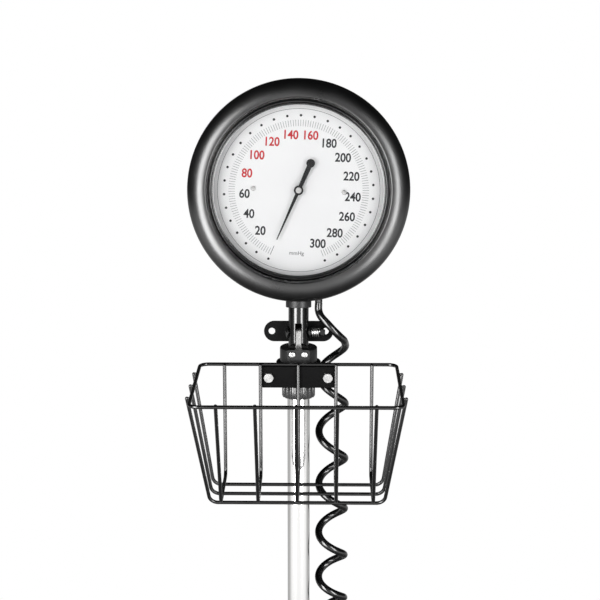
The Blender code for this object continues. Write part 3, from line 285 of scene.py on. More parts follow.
# Base and castors
leg_count = 5
arm_wall = 0.003
arm_end_radius = 0.0145
arm_end_height = 0.019
arm_root_width = 0.036
arm_root_bottom = 0.078
arm_root_top = 0.114
arm_side_height = 0.006
hub_radius = 0.034
hub_bottom = 0.070
hub_top = 0.126
hub_shoulder = 0.007
pole_seat = 0.083
bolt_recess_radius = 0.0068
bolt_recess_top = 0.074
castor_circle = 0.236
castor_trail = 0.018
stem_radius = 0.005
stem_length = 0.0145
wheel_radius = 0.025
wheel_width = 0.020
wheel_shoulder = 0.0035
wheel_hub_radius = 0.0085
wheel_web_recess = 0.0035
tyre_thickness = 0.0065
axle_radius = 0.0035
cheek_thickness = 0.0025
cheek_gap = 0.0006
axle_eye_radius = 0.0075
crown_thickness = 0.004
crown_over_wheel = 0.003
crown_half_length = 0.013
crown_collar_radius = 0.009
crown_collar_height = 0.0035
crown_bottom = 2 * wheel_radius + crown_over_wheel
crown_top = crown_bottom + crown_thickness
arm_end_bottom = crown_top + crown_collar_height + clearance

# Basket
wire = 0.0032
wire_pitch = wire + clearance
weld_radius = wire * 0.36
rim_width = 0.1768
rim_depth = 0.132
rim_corner = 0.008
basket_height = 0.1038
basket_bottom_depth = 0.0703
wire_bend = 0.008
wire_past_rim = 0.0012
bolt_wire_gap = 0.001
outer_wire_share = 0.594
inner_wire_x = basket_bolt_spacing / 2 + basket_bolt_head_radius + bolt_wire_gap + wire / 2
outer_wire_x = inner_wire_x + (rim_width / 2 - inner_wire_x) * outer_wire_share
long_wire_half_width = 0.07615
long_wire_top_shares = (0.24, 0.53, 0.81)
long_wire_bottom_shares = (0.23, 0.57, 0.89)


def principled(name, colour, roughness, metallic=0.0, coat=0.0, specular=0.5, ior=1.5):
    """A material with its Principled shader set, and the tree to add detail to."""
    made = bpy.data.materials.new(name)
    made.use_nodes = True
    tree = made.node_tree
    shader = tree.nodes["Principled BSDF"]
    shader.inputs["Base Color"].default_value = (*colour, 1)
    shader.inputs["Roughness"].default_value = roughness
    shader.inputs["Metallic"].default_value = metallic
    shader.inputs["Coat Weight"].default_value = coat
    shader.inputs["Coat Roughness"].default_value = 0.08
    shader.inputs["Specular IOR Level"].default_value = specular
    shader.inputs["IOR"].default_value = ior
    return made, tree, shader


def noise(tree, scale, detail=3.0, stretch=(1, 1, 1)):
    """Noise in object space; stretch draws it out along an axis."""
    place = tree.nodes.new("ShaderNodeTexCoord")
    mapping = tree.nodes.new("ShaderNodeMapping")
    mapping.inputs["Scale"].default_value = stretch
    texture = tree.nodes.new("ShaderNodeTexNoise")
    texture.inputs["Scale"].default_value = scale
    texture.inputs["Detail"].default_value = detail
    tree.links.new(place.outputs["Object"], mapping.inputs["Vector"])
    tree.links.new(mapping.outputs["Vector"], texture.inputs["Vector"])
    return texture.outputs["Fac"]


def graded(tree, source, low, high, first, last, shape="LINEAR"):
    """The source's low to high mapped to first to last, and held beyond."""
    node = tree.nodes.new("ShaderNodeMapRange")
    node.interpolation_type = shape
    node.inputs["From Min"].default_value = low
    node.inputs["From Max"].default_value = high
    node.inputs["To Min"].default_value = first
    node.inputs["To Max"].default_value = last
    tree.links.new(source, node.inputs["Value"])
    return node.outputs["Result"]


def glossed(tree, shader, source, low, high):
    """The roughness drifts between two values."""
    tree.links.new(graded(tree, source, 0.3, 0.7, low, high), shader.inputs["Roughness"])


def tinted(tree, shader, source, dark, pale):
    """The base colour drifts between two tones."""
    ramp = tree.nodes.new("ShaderNodeValToRGB")
    ramp.color_ramp.elements[0].position = 0.3
    ramp.color_ramp.elements[0].color = (*dark, 1)
    ramp.color_ramp.elements[1].position = 0.7
    ramp.color_ramp.elements[1].color = (*pale, 1)
    tree.links.new(source, ramp.inputs["Fac"])
    tree.links.new(ramp.outputs["Color"], shader.inputs["Base Color"])


def bumped(tree, shader, source, distance, strength=0.3):
    node = tree.nodes.new("ShaderNodeBump")
    node.inputs["Strength"].default_value = strength
    node.inputs["Distance"].default_value = distance
    tree.links.new(source, node.inputs["Height"])
    tree.links.new(node.outputs["Normal"], shader.inputs["Normal"])


def moulded(name, tone, roughness, specular=0.5, ior=1.5, grain=0.25):
    """Moulded plastic with a fine, soft grain and slight changes of gloss."""
    made, tree, shader = principled(name, (tone, tone, tone * 1.06), roughness, specular=specular, ior=ior)
    glossed(tree, shader, noise(tree, 35, 4), roughness * 0.85, roughness * 1.15)
    dark = (tone * 0.8, tone * 0.8, tone * 0.85)
    pale = (tone * 1.2, tone * 1.2, tone * 1.27)
    tinted(tree, shader, noise(tree, 22, 2), dark, pale)
    bumped(tree, shader, noise(tree, 2600, 2), 0.00004, grain)
    return made


def enamel(name, tone, roughness, specular=0.5, ior=1.5, coat=0.4, peel=0.2):
    """Stoved enamel: a smooth coat with a faint orange peel."""
    made, tree, shader = principled(name, (tone, tone, tone * 1.05), roughness, 0.0, coat, specular, ior)
    glossed(tree, shader, noise(tree, 60, 3), roughness * 0.8, roughness * 1.2)
    bumped(tree, shader, noise(tree, 420, 2), 0.00005, peel)
    return made


def plated(name, tone, roughness, drawn=(1, 1, 1), warmth=1.0):
    """Plated metal with faint drawing marks along one axis."""
    colour = (tone, tone * 0.995, tone * 0.985 * warmth)
    made, tree, shader = principled(name, colour, roughness, metallic=1.0)
    marks = noise(tree, 260, 3, drawn)
    glossed(tree, shader, marks, roughness * 0.75, roughness * 1.3)
    bumped(tree, shader, marks, 0.00001, 0.15)
    return made


def glossy_hose(name):
    """Soft PVC with a high gloss and slow waves in it."""
    made, tree, shader = principled(name, (0.005, 0.005, 0.0055), 0.18, 0.0, 0.3, 0.8, 1.56)
    glossed(tree, shader, noise(tree, 90, 2), 0.14, 0.26)
    bumped(tree, shader, noise(tree, 140, 2), 0.0001, 0.18)
    return made


def dial_enamel(name):
    """White painted sheet, a little uneven."""
    made, tree, shader = principled(name, (0.89, 0.89, 0.895), 0.5, specular=0.3)
    tinted(tree, shader, noise(tree, 30, 2), (0.886, 0.888, 0.894), (0.902, 0.905, 0.909))
    bumped(tree, shader, noise(tree, 1500, 2), 0.00002, 0.15)
    return made


def window_glass(name):
    """A clear low-glare pane whose faint smears change its gloss."""
    made, tree, shader = principled(name, (1, 1, 1), 0.02, ior=1.15)
    shader.inputs["Transmission Weight"].default_value = 1.0
    glossed(tree, shader, noise(tree, 25, 2), 0.0, 0.02)
    return made


def ink(name, colour):
    """Printed ink, slightly uneven in tone."""
    made, tree, shader = principled(name, colour, 0.55, specular=0.3)
    pale = tuple(min(1.0, c * 1.15 + 0.004) for c in colour)
    tinted(tree, shader, noise(tree, 500, 2), colour, pale)
    return made


looks = {
    "bezel": moulded("bezel_satin_black", 0.0035, 0.31, 1.0, 1.58, 0.1),
    "ring": moulded("ring_gloss_black", 0.004, 0.18, 1.0, 1.58, 0.0),
    "case": moulded("case_satin_black", 0.010, 0.42, 0.6),
    "ribbed": moulded("ribbed_dark_plastic", 0.018, 0.24, 1.0, 1.60, 0.1),
    "wire": enamel("basket_black_enamel", 0.004, 0.20, 0.9, 1.56, 0.3, 0.06),
    "plate": enamel("plate_black_enamel", 0.004, 0.42, 0.1, coat=0.0),
    "base": enamel("base_black_enamel", 0.011, 0.34, 0.6, 1.5, 0.2, 0.05),
    "neck": enamel("neck_gloss_black", 0.006, 0.17, 1.0, 1.52, 0.3, 0.06),
    "clamp": enamel("clamp_satin_black", 0.010, 0.36, 0.7, 1.5, 0.1, 0.1),
    "needle": enamel("needle_dark_enamel", 0.009, 0.40, 0.3, coat=0.0),
    "chrome": plated("polished_chrome", 0.98, 0.15, (1, 1, 0.06)),
    "bright": plated("bright_zinc_screws", 0.74, 0.32),
    "zinc": plated("zinc_plate", 0.78, 0.26),
    "cap": plated("pointer_cap_metal", 0.56, 0.40),
    "spring": plated("spring_chrome", 0.74, 0.22),
    "brass": plated("turned_brass", 0.72, 0.3, warmth=0.45),
    "hose": glossy_hose("hose_black"),
    "dial": dial_enamel("dial_white_paint"),
    "glass": window_glass("window_glass"),
    "ink_dark": ink("ink_dark_grey", (0.018, 0.019, 0.022)),
    "ink_mid": ink("ink_mid_grey", (0.12, 0.12, 0.125)),
    "pale_ink_and_shade": ink("pale_grey_ink_and_shade", (0.19, 0.19, 0.20)),
    "ink_red": ink("ink_red", (0.52, 0.012, 0.020)),
    "castor": moulded("castor_grey_plastic", 0.045, 0.5, 0.5, 1.5, 0.4),
    "tread": moulded("wheel_dark_tread", 0.024, 0.62, 0.4, 1.5, 0.5),
}


def linked(name, data):
    """A new object in the scene."""
    made = bpy.data.objects.new(name, data)
    bpy.context.scene.collection.objects.link(made)
    return made


def piece(name, data, look, body, replaced=(), edge=0.0):
    """One named piece of the dressed model, riding on its body, with its sharp edges softened."""
    made = linked(name, data)
    data.materials.clear()
    data.materials.append(looks[look])
    if isinstance(data, bpy.types.Mesh):
        data.shade_smooth()
        if not edge:
            data.set_sharp_from_angle(angle=CREASE)
    if edge:
        step = made.modifiers.new("edges", "BEVEL")
        step.width = edge
        step.segments = 3
        step.limit_method = "ANGLE"
        step.angle_limit = CREASE
        step.harden_normals = True
    if body:
        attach(made, body)
    if replaced:
        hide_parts(*replaced)
    return made


def to_mesh(work, matrix=Matrix()):
    bmesh.ops.remove_doubles(work, verts=work.verts, dist=1e-7)
    bmesh.ops.recalc_face_normals(work, faces=work.faces)
    mesh = bpy.data.meshes.new("shape")
    work.to_mesh(mesh)
    work.free()
    mesh.transform(matrix)
    return mesh


def placed(mesh, matrix):
    mesh.transform(matrix)
    return mesh


def at(x=0.0, y=0.0, z=0.0):
    return Matrix.Translation((x, y, z))


def softened(points, radius, steps=3, closed=False):
    """The line of (x, y) points with its corners rounded off, less where the sides are short."""
    result = []
    for i, point in enumerate(points):
        corner = Vector(point)
        before = Vector(points[i - 1]) - corner
        after = Vector(points[(i + 1) % len(points)]) - corner
        is_end = not closed and i in (0, len(points) - 1)
        if is_end or before.length == 0 or after.length == 0 or before.angle(-after) < CREASE:
            result.append(tuple(point))
            continue
        reach = min(radius, before.length * 0.45, after.length * 0.45)
        start = corner + before.normalized() * reach
        end = corner + after.normalized() * reach
        for t in np.linspace(0, 1, steps + 1):
            result.append(tuple(start * (1 - t) ** 2 + corner * 2 * t * (1 - t) + end * t**2))
    return result


def turned(profile, steps=tube_steps, matrix=Matrix(), edge=0.0):
    """A solid turned about Z from (radius, height) points: a ring unless it starts and ends on the axis."""
    ring = profile[0][0] > 0
    if edge:
        profile = softened(profile, edge, closed=ring)
    work = bmesh.new()
    verts = [work.verts.new((r, 0, z)) for r, z in profile]
    edges = [work.edges.new(pair) for pair in zip(verts, verts[1:])]
    if ring:
        edges.append(work.edges.new((verts[-1], verts[0])))
    bmesh.ops.spin(
        work, geom=verts + edges, cent=(0, 0, 0), axis=(0, 0, 1), angle=TURN, steps=steps, use_merge=True
    )
    return to_mesh(work, matrix)


def rod(radius, bottom, top, steps=small_steps, matrix=Matrix(), edge=0.0):
    return turned([(0, bottom), (radius, bottom), (radius, top), (0, top)], steps, matrix, edge)


def pipe(outer, inner, bottom, top, steps=tube_steps, matrix=Matrix(), edge=0.0):
    return turned([(outer, bottom), (outer, top), (inner, top), (inner, bottom)], steps, matrix, edge)


def prism(outline, bottom, top, matrix=Matrix()):
    """A flat outline of (x, y) points given thickness along Z."""
    work = bmesh.new()
    face = work.faces.new([work.verts.new((x, y, bottom)) for x, y in outline])
    raised = bmesh.ops.extrude_face_region(work, geom=[face])
    moved = [v for v in raised["geom"] if isinstance(v, bmesh.types.BMVert)]
    bmesh.ops.translate(work, verts=moved, vec=(0, 0, top - bottom))
    return to_mesh(work, matrix)


def block(low, high, matrix=Matrix()):
    """A box between two corners."""
    outline = [(low[0], low[1]), (high[0], low[1]), (high[0], high[1]), (low[0], high[1])]
    return prism(outline, low[2], high[2], matrix)


def lofted(sections, closed_ends=True):
    """A solid through sections that have as many points each; without ends the last joins the first."""
    work = bmesh.new()
    rings = [[work.verts.new(point) for point in section] for section in sections]
    pairs = list(zip(rings, rings[1:]))
    if not closed_ends:
        pairs.append((rings[-1], rings[0]))
    for first, second in pairs:
        for i in range(len(first)):
            j = (i + 1) % len(first)
            work.faces.new((first[i], first[j], second[j], second[i]))
    if closed_ends:
        work.faces.new(rings[0])
        work.faces.new(rings[-1])
    return to_mesh(work)


def joined(meshes):
    """Several meshes as one."""
    work = bmesh.new()
    for mesh in meshes:
        work.from_mesh(mesh)
        bpy.data.meshes.remove(mesh)
    mesh = bpy.data.meshes.new("shape")
    work.to_mesh(mesh)
    work.free()
    return mesh


def shaped(base, tools, operation):
    """The base mesh with each tool's solid united with it, cut from it or kept in common with it."""
    body = linked("work_body", base)
    others = [linked("work_tool", tool) for tool in tools]
    for other in others:
        step = body.modifiers.new("shape", "BOOLEAN")
        step.operation = operation
        step.object = other
    graph = bpy.context.evaluated_depsgraph_get()
    result = bpy.data.meshes.new_from_object(body.evaluated_get(graph))
    for spent in [body, *others]:
        data = spent.data
        bpy.data.objects.remove(spent)
        bpy.data.meshes.remove(data)
    return result


def united(base, *tools):
    return shaped(base, tools, "UNION")


def cut(base, *tools):
    return shaped(base, tools, "DIFFERENCE")


def common(base, *tools):
    return shaped(base, tools, "INTERSECT")


def arc(centre, radius, start, end, steps):
    """Points along an arc, ends included."""
    angles = np.linspace(start, end, steps + 1)
    return [(centre[0] + radius * math.cos(a), centre[1] + radius * math.sin(a)) for a in angles]


def hexagon(corner_radius, bottom, top, matrix=Matrix()):
    """A hexagon head whose front corners are turned off."""
    flat = corner_radius * math.cos(TURN / 12)
    drop = corner_radius - flat
    dome = [(0, bottom), (corner_radius, bottom), (corner_radius, top - drop), (flat, top), (0, top)]
    sides = prism(arc((0, 0), corner_radius, 0, TURN * 5 / 6, 5), bottom, top)
    return placed(common(sides, turned(dome, small_steps)), matrix)


def rounded_route(corners, radius, steps=10):
    """A polyline through space with its inner corners rounded, as bent wire is."""
    route = [Vector(corners[0])]
    for before, corner, after in zip(corners, corners[1:], corners[2:]):
        corner = Vector(corner)
        inward = (Vector(before) - corner).normalized()
        outward = (Vector(after) - corner).normalized()
        half = inward.angle(outward) / 2
        middle = (inward + outward).normalized()
        centre = corner + middle * (radius / math.sin(half))
        start = corner + inward * (radius / math.tan(half)) - centre
        normal = inward.cross(outward).normalized()
        sweep = TURN / 2 - 2 * half
        for i in range(steps + 1):
            route.append(centre + Matrix.Rotation(-sweep * i / steps, 3, normal) @ start)
    route.append(Vector(corners[-1]))
    return route


def smooth_route(points, steps):
    """Points along a Catmull-Rom curve through the given ones."""
    known = [Vector(p) for p in points]
    known = [2 * known[0] - known[1], *known, 2 * known[-1] - known[-2]]
    route = []
    for a, b, c, d in zip(known, known[1:], known[2:], known[3:]):
        for i in range(steps):
            t = i / steps
            square = 2 * a - 5 * b + 4 * c - d
            cube = 3 * b - a - 3 * c + d
            route.append((2 * b + (c - a) * t + square * t**2 + cube * t**3) / 2)
    route.append(known[-2])
    return route


def wire_curve(name, route, diameter, matrix, closed=False):
    """A round wire as a curve whose ends are rounded off like a cut and dipped rod's."""
    points = [matrix @ Vector(p) for p in route]
    radii = [1.0] * len(points)
    if not closed:
        for at_end, end, inner in ((False, points[0], points[1]), (True, points[-1], points[-2])):
            inward = (inner - end).normalized()
            caps = []
            for a in np.linspace(0, 1.45, 6):
                caps.append((end + inward * diameter / 2 * (1 - math.sin(a)), math.cos(a)))
            if at_end:
                points[-1:] = [p for p, _ in caps]
                radii[-1:] = [r for _, r in caps]
            else:
                points[0:1] = [p for p, _ in reversed(caps)]
                radii[0:1] = [r for _, r in reversed(caps)]
    curve = bpy.data.curves.new(name, "CURVE")
    curve.dimensions = "3D"
    curve.bevel_depth = diameter / 2
    curve.bevel_resolution = 6
    curve.use_fill_caps = not closed
    spline = curve.splines.new("POLY")
    spline.points.add(len(points) - 1)
    for point, place, radius in zip(spline.points, points, radii):
        point.co = (*place, 1)
        point.radius = radius
    spline.use_cyclic_u = closed
    spline.use_smooth = True
    return curve


def swept_tube(route, radius, sides):
    """A round tube along the route with flat ends; its rings turn as little as they can."""
    places = [Vector(p) for p in route]
    sections = []
    side = Vector((1, 0, 0))
    for i, place in enumerate(places):
        ahead = (places[min(i + 1, len(places) - 1)] - places[max(i - 1, 0)]).normalized()
        side = (side - ahead * side.dot(ahead)).normalized()
        other = ahead.cross(side)
        ring = []
        for k in range(sides):
            angle = TURN * k / sides
            ring.append(place + (side * math.cos(angle) + other * math.sin(angle)) * radius)
        sections.append(ring)
    return lofted(sections)


def make_camera():
    """The photograph's view: a long lens, a little above the gauge and looking down."""
    data = bpy.data.cameras.new("camera")
    data.sensor_width = sensor_width * 1000
    data.lens = focal_pixels * sensor_width * 1000 / image_side
    made = linked("camera", data)
    height = gauge.translation.z + camera_over_gauge
    turn = Matrix.Rotation(camera_yaw, 4, "Z") @ Matrix.Rotation(TURN / 4 - camera_pitch, 4, "X")
    made.matrix_world = Matrix.Translation((camera_across, pivot.y - camera_back, height)) @ turn
    bpy.context.scene.camera = made


def make_hose():
    """The lead, the stretched and closed curls and the tail as one tube, with its connector."""
    start = head @ Vector((nipple_offset, nipple_depth, gauge_rise - nipple_end - clearance))
    down = head.to_3x3() @ Vector((0, 0, -hose))
    centre = pivot + Vector((coil_centre_x, coil_centre_y, -coil_start_drop))
    coil = []
    for i in range((stretched_turns + closed_turns) * coil_steps + 1):
        turn = i / coil_steps
        open_turn = min(turn, stretched_turns)
        fall = top_pitch * open_turn - (top_pitch - closed_pitch) * open_turn**2 / stretched_turns / 2
        fall += closed_pitch * (turn - open_turn)
        angle = TURN * turn
        coil.append(centre + Vector((coil_radius * math.cos(angle), coil_radius * math.sin(angle), -fall)))
    into = Vector((0, TURN * coil_radius, -top_pitch)).normalized()
    lead = [start, start + down] + [pivot + Vector(p) for p in lead_points]
    lead.append(coil[0] - into * hose + Vector((-lead_inset, 0, 0)))
    bend = []
    for a in np.linspace(0, TURN / 4, 9)[1:]:
        bend.append(coil[-1] + Vector((0, tail_bend * math.sin(a), tail_bend * (math.cos(a) - 1))))
    end = bend[-1] - Vector((0, 0, tail_straight))
    route = smooth_route(lead, 8) + coil + bend + [end]
    tube = piece("hose", swept_tube(route, hose / 2, hose_sides), "hose", None)
    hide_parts("tube_lead", "tube_coil")
    connector = make_connector(end)
    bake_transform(tube)


def make_connector(end):
    """The metal fitting on the hose: two grip rings with grooves, a waist and a slim tip."""
    top = -clearance
    bottom = top - connector_length
    shoulder = connector_length / 4
    groove = 0.0007
    waist = connector_radius * 0.78
    profile = [(0, top), (connector_radius, top)]
    for start, stop in ((top, top - shoulder), (bottom + shoulder, bottom)):
        if profile[-1][0] != connector_radius or start != top:
            profile.append((waist, start + shoulder / 3))
            profile.append((connector_radius, start))
        for share in (0.3, 0.55, 0.8):
            height = start + (stop - start) * share
            profile += [
                (connector_radius, height + groove / 2),
                (connector_radius - groove / 2, height + groove / 4),
                (connector_radius - groove / 2, height - groove / 4),
                (connector_radius, height - groove / 2),
            ]
        profile.append((connector_radius, stop))
        if stop != bottom:
            profile.append((waist, stop - shoulder / 3))
    profile += [(connector_tip_radius, bottom), (connector_tip_radius, bottom - connector_tip_length)]
    profile.append((0, bottom - connector_tip_length))
    mesh = turned(profile, small_steps, Matrix.Translation(end), fine_edge)
    return piece("hose_end_fitting", mesh, "zinc", "mast", ["hose_connector"])


def make_lights():
    """Tall soft boxes in front at left and right, with cards that only gloss sees, and a weak one behind."""
    target = Vector((0, pivot.y, 1.0))
    # Name, bearing, distance, height, width, tall, power, lights surfaces, shows in gloss
    boxes = (
        ("left_box", -35, 1.45, 1.10, 0.66, 1.50, 14.5, True, True),
        ("left_card", -35, 1.46, 1.10, 0.66, 1.50, 16.0, False, True),
        ("right_box", 36, 1.45, 1.05, 0.48, 1.30, 7.2, True, True),
        ("right_card", 36, 1.46, 1.05, 0.48, 1.30, 9.5, False, True),
        ("rear_box", 160, 1.70, 1.20, 1.2, 1.2, 5.0, True, False),
    )
    for name, bearing, distance, height, width, tall, power, shining, mirrored in boxes:
        data = bpy.data.lights.new(name, "AREA")
        data.shape = "RECTANGLE"
        data.size = width
        data.size_y = tall
        data.energy = power
        made = linked(name, data)
        angle = math.radians(bearing)
        place = Vector((distance * math.sin(angle), pivot.y - distance * math.cos(angle), height))
        made.location = place
        made.rotation_euler = (target - place).to_track_quat("-Z", "Y").to_euler()
        made.visible_diffuse = shining
        made.visible_glossy = mirrored
        made.visible_transmission = False
    make_world()


def reckoned(tree, operation, first, second):
    """One sum on two sources, or on a source and a number."""
    node = tree.nodes.new("ShaderNodeMath")
    node.operation = operation
    for socket, value in zip(node.inputs, (first, second)):
        if isinstance(value, float):
            socket.default_value = value
        else:
            tree.links.new(value, socket)
    return node.outputs["Value"]


def make_world():
    """White to the camera; in reflections dim in front and dark at the sides, behind and overhead."""
    world = bpy.data.worlds.new("studio")
    bpy.context.scene.world = world
    world.use_nodes = True
    tree = world.node_tree
    shader = tree.nodes["Background"]
    shader.inputs["Color"].default_value = (1, 1, 1, 1)
    path = tree.nodes.new("ShaderNodeLightPath")
    place = tree.nodes.new("ShaderNodeTexCoord")
    split = tree.nodes.new("ShaderNodeSeparateXYZ")
    tree.links.new(place.outputs["Generated"], split.inputs["Vector"])
    ahead = graded(tree, split.outputs["Y"], -0.70, -0.20, 1.0, 0.07, "SMOOTHSTEP")
    raised = graded(tree, split.outputs["Z"], 0.0, 0.85, 0.50, 0.0)
    mirrored = reckoned(tree, "MULTIPLY", ahead, raised)
    ambient = 0.15
    glossy = path.outputs["Is Glossy Ray"]
    lit = reckoned(tree, "MULTIPLY", mirrored, glossy)
    unlit = reckoned(tree, "SUBTRACT", 1.0, glossy)
    soft = reckoned(tree, "MULTIPLY", unlit, ambient)
    both = reckoned(tree, "ADD", lit, soft)
    strength = reckoned(tree, "MAXIMUM", both, path.outputs["Is Camera Ray"])
    tree.links.new(strength, shader.inputs["Strength"])


def make_floor():
    """Plain white paper that keeps the shadow near the stand and is all white further out; to reflections it
    glows with painted shade, dim near the stand and dimmer behind.
    """
    outline = arc((0, 0), floor_radius, 0, TURN * 71 / 72, 71)
    mesh = prism(outline, floor_bottom, floor_top)
    made = linked("floor", mesh)
    surface, tree, shader = principled("floor_white", (0.90, 0.90, 0.90), 0.8, specular=0.1)
    path = tree.nodes.new("ShaderNodeLightPath")
    place = tree.nodes.new("ShaderNodeTexCoord")
    split = tree.nodes.new("ShaderNodeSeparateXYZ")
    tree.links.new(place.outputs["Object"], split.inputs["Vector"])
    reach = tree.nodes.new("ShaderNodeVectorMath")
    reach.operation = "LENGTH"
    tree.links.new(place.outputs["Object"], reach.inputs[0])
    away = reach.outputs["Value"]
    glossy = path.outputs["Is Glossy Ray"]
    camera = path.outputs["Is Camera Ray"]
    seen = reckoned(tree, "MULTIPLY", camera, graded(tree, away, 0.3, 1.2, 0.62, 1.0))
    share = reckoned(tree, "MAXIMUM", seen, glossy)
    # Painted shade in reflections: the glow that glossy rays see is dim near the stand and dimmer towards the
    # back, standing in for the shade under the stand.
    outward = graded(tree, away, 0.5, 1.7, 0.14, 0.97, "SMOOTHSTEP")
    backward = graded(tree, split.outputs["Y"], -0.8, 0.8, 1.0, 0.45, "SMOOTHSTEP")
    mirrored = reckoned(tree, "MULTIPLY", outward, backward)
    strength = reckoned(tree, "MAXIMUM", reckoned(tree, "MULTIPLY", mirrored, glossy), camera)
    backdrop_and_painted_reflection_glow = tree.nodes.new("ShaderNodeEmission")
    tree.links.new(strength, backdrop_and_painted_reflection_glow.inputs["Strength"])
    blend = tree.nodes.new("ShaderNodeMixShader")
    tree.links.new(share, blend.inputs[0])
    tree.links.new(shader.outputs["BSDF"], blend.inputs[1])
    tree.links.new(backdrop_and_painted_reflection_glow.outputs["Emission"], blend.inputs[2])
    tree.links.new(blend.outputs["Shader"], tree.nodes["Material Output"].inputs["Surface"])
    mesh.materials.append(surface)


def make_bezel():
    """The thick rounded front ring, finer than its solid."""
    profile = [(bezel_radius, bezel_back + bezel_lip)]
    for a in np.linspace(0, TURN / 4, 28):
        across = bezel_crest_radius + (bezel_radius - bezel_crest_radius) * math.cos(a)
        profile.append((across, bezel_side_top + (bezel_crest - bezel_side_top) * math.sin(a)))
    for a in np.linspace(0, TURN / 4, 12)[1:]:
        across = bezel_crest_radius - (bezel_crest_radius - bezel_bore_radius) * math.sin(a)
        profile.append((across, bezel_inner_edge + (bezel_crest - bezel_inner_edge) * math.cos(a)))
    groove = case_radius + clearance
    groove_inside = case_radius - case_wall - clearance
    profile += [
        (bezel_bore_radius, lens_shelf_edge),
        (lens_shelf_radius, lens_shelf_front),
        (lens_shelf_radius, bezel_back),
        (groove_inside, bezel_back),
        (groove_inside, case_front + clearance),
        (groove, case_front + clearance),
        (groove, bezel_back),
        (bezel_radius - bezel_lip, bezel_back),
    ]
    piece("bezel_ring", turned(profile, large_steps, gauge), "bezel", "head", ["bezel"])


def make_case():
    """The dished housing with its neck boss, plain behind."""

    def dish(radius, corner, back):
        centre = (case_radius - case_taper - case_corner, case_corner - case_back)
        side = [(radius, case_front), (radius, bezel_back - clearance)]
        return side + arc(centre, corner, 0, -TURN / 4, 14) + [(0, back)]

    outer = dish(case_radius, case_corner, -case_back)
    inner = dish(case_radius - case_wall, case_corner - case_wall, case_wall - case_back)
    shell = turned(outer[::-1] + inner, large_steps)
    boss = rod(boss_radius, boss_inside, boss_bottom, tube_steps, facing_front, stem_edge)
    bore_radius = fork_radius + clearance
    bore = rod(bore_radius, boss_inside + overrun, boss_bottom + overrun, tube_steps, facing_front)
    beside = at(nipple_offset, 0, -nipple_depth) @ facing_front
    hose_hole = rod(hose_hole_radius, boss_inside, case_radius + overrun, small_steps, beside)
    shell = cut(united(shell, boss), bore, hose_hole)
    piece("case_back", placed(shell, gauge), "case", "head", ["case_shell"])


def make_lens_ring():
    """Fine rounded ridges between the lens and the bezel."""
    low = lens_front + clearance
    high = low + lens_ring_height
    outside = bezel_bore_radius - clearance
    profile = [(lens_ring_bore, low), (outside, low), (outside, high - lens_ring_edge_drop)]
    for middle, half, drop in ridges:
        top = high - drop
        profile.append((middle + half, top - ridge_outer_foot))
        profile += [(middle + half * x, top - half + half * z) for x, z in arc((0, 0), 1, 0, TURN / 2, 10)]
        profile.append((middle - half, top - ridge_inner_foot))
    profile.append((lens_ring_bore, high - lens_ring_bore_drop))
    piece("window_ring", turned(profile, large_steps, gauge), "ring", "head", ["lens_ring"])


def make_dial_print():
    """Dots every ten, fine ticks every two, a longer line at nought, a painted shade line near the dial's edge
    and the plain numbers.
    """
    lift = dial_front + print_height
    dots = []
    ticks_and_shade_line = []
    dot_count = full_scale // 10
    for i in range(dot_count + 1):
        bearing = zero_bearing + full_scale_turn * i / dot_count
        place = at(dot_circle * math.sin(bearing), dot_circle * math.cos(bearing))
        dots.append(rod(dot_radius, dial_front, lift, 20, gauge @ place))
    tick_count = full_scale // 2
    for i in range(tick_count + 1):
        bearing = zero_bearing + full_scale_turn * i / tick_count
        half = tick_width / 2
        outline = [(-half, tick_inner), (half, tick_inner), (half, tick_outer), (-half, tick_outer)]
        ticks_and_shade_line.append(prism(outline, dial_front, lift, gauge @ Matrix.Rotation(-bearing, 4, "Z")))
    # A thin pale grey ring near the dial's edge, a painted shade line, joined to the ticks and printed in their
    # pale ink.
    shade_line_inner = shade_line_radius - shade_line_width
    ticks_and_shade_line.append(pipe(shade_line_radius, shade_line_inner, dial_front, lift, large_steps, gauge))
    half = zero_mark_width / 2
    outline = [(-half, zero_mark_inner), (half, zero_mark_inner), (half, tick_outer), (-half, tick_outer)]
    zero_turn = Matrix.Rotation(-zero_bearing, 4, "Z")
    dots.append(prism(outline, dial_front + print_height, lift + print_height, gauge @ zero_turn))
    piece("scale_dots", joined(dots), "ink_dark", "head")
    piece("scale_ticks", joined(ticks_and_shade_line), "pale_ink_and_shade", "head")
    for value in range(20, full_scale + 1, 20):
        bearing = zero_bearing + full_scale_turn * value / full_scale
        rise = numeral_circle_up * math.cos(bearing) - numeral_circle_drop
        place = (numeral_circle_across * math.sin(bearing), rise)
        look = "ink_red" if 80 <= value <= 160 else "ink_dark"
        make_print(f"number_{value}", str(value), numeral_height, numeral_narrowing, place, look, 0.034)
    make_print("scale_unit", "mmHg", unit_height, 1.05, (-unit_across, -unit_drop), "ink_mid", 0.01)


def make_print(name, body, height, narrowing, place, look, boldness):
    """Flat printed characters, centred on a place on the dial."""
    curve = bpy.data.curves.new(name, "FONT")
    curve.body = body
    curve.size = height / digit_share
    curve.align_x = "CENTER"
    curve.align_y = "CENTER"
    curve.offset = height * boldness
    curve.extrude = print_height
    curve.resolution_u = 6
    made = piece(name, curve, look, None)
    turn = Matrix.Rotation(-dial_turn, 4, "Z")
    narrow = Matrix.Diagonal((narrowing, 1, 1, 1))
    made.matrix_world = gauge @ at(*place, dial_front) @ turn @ narrow
    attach(made, "head")


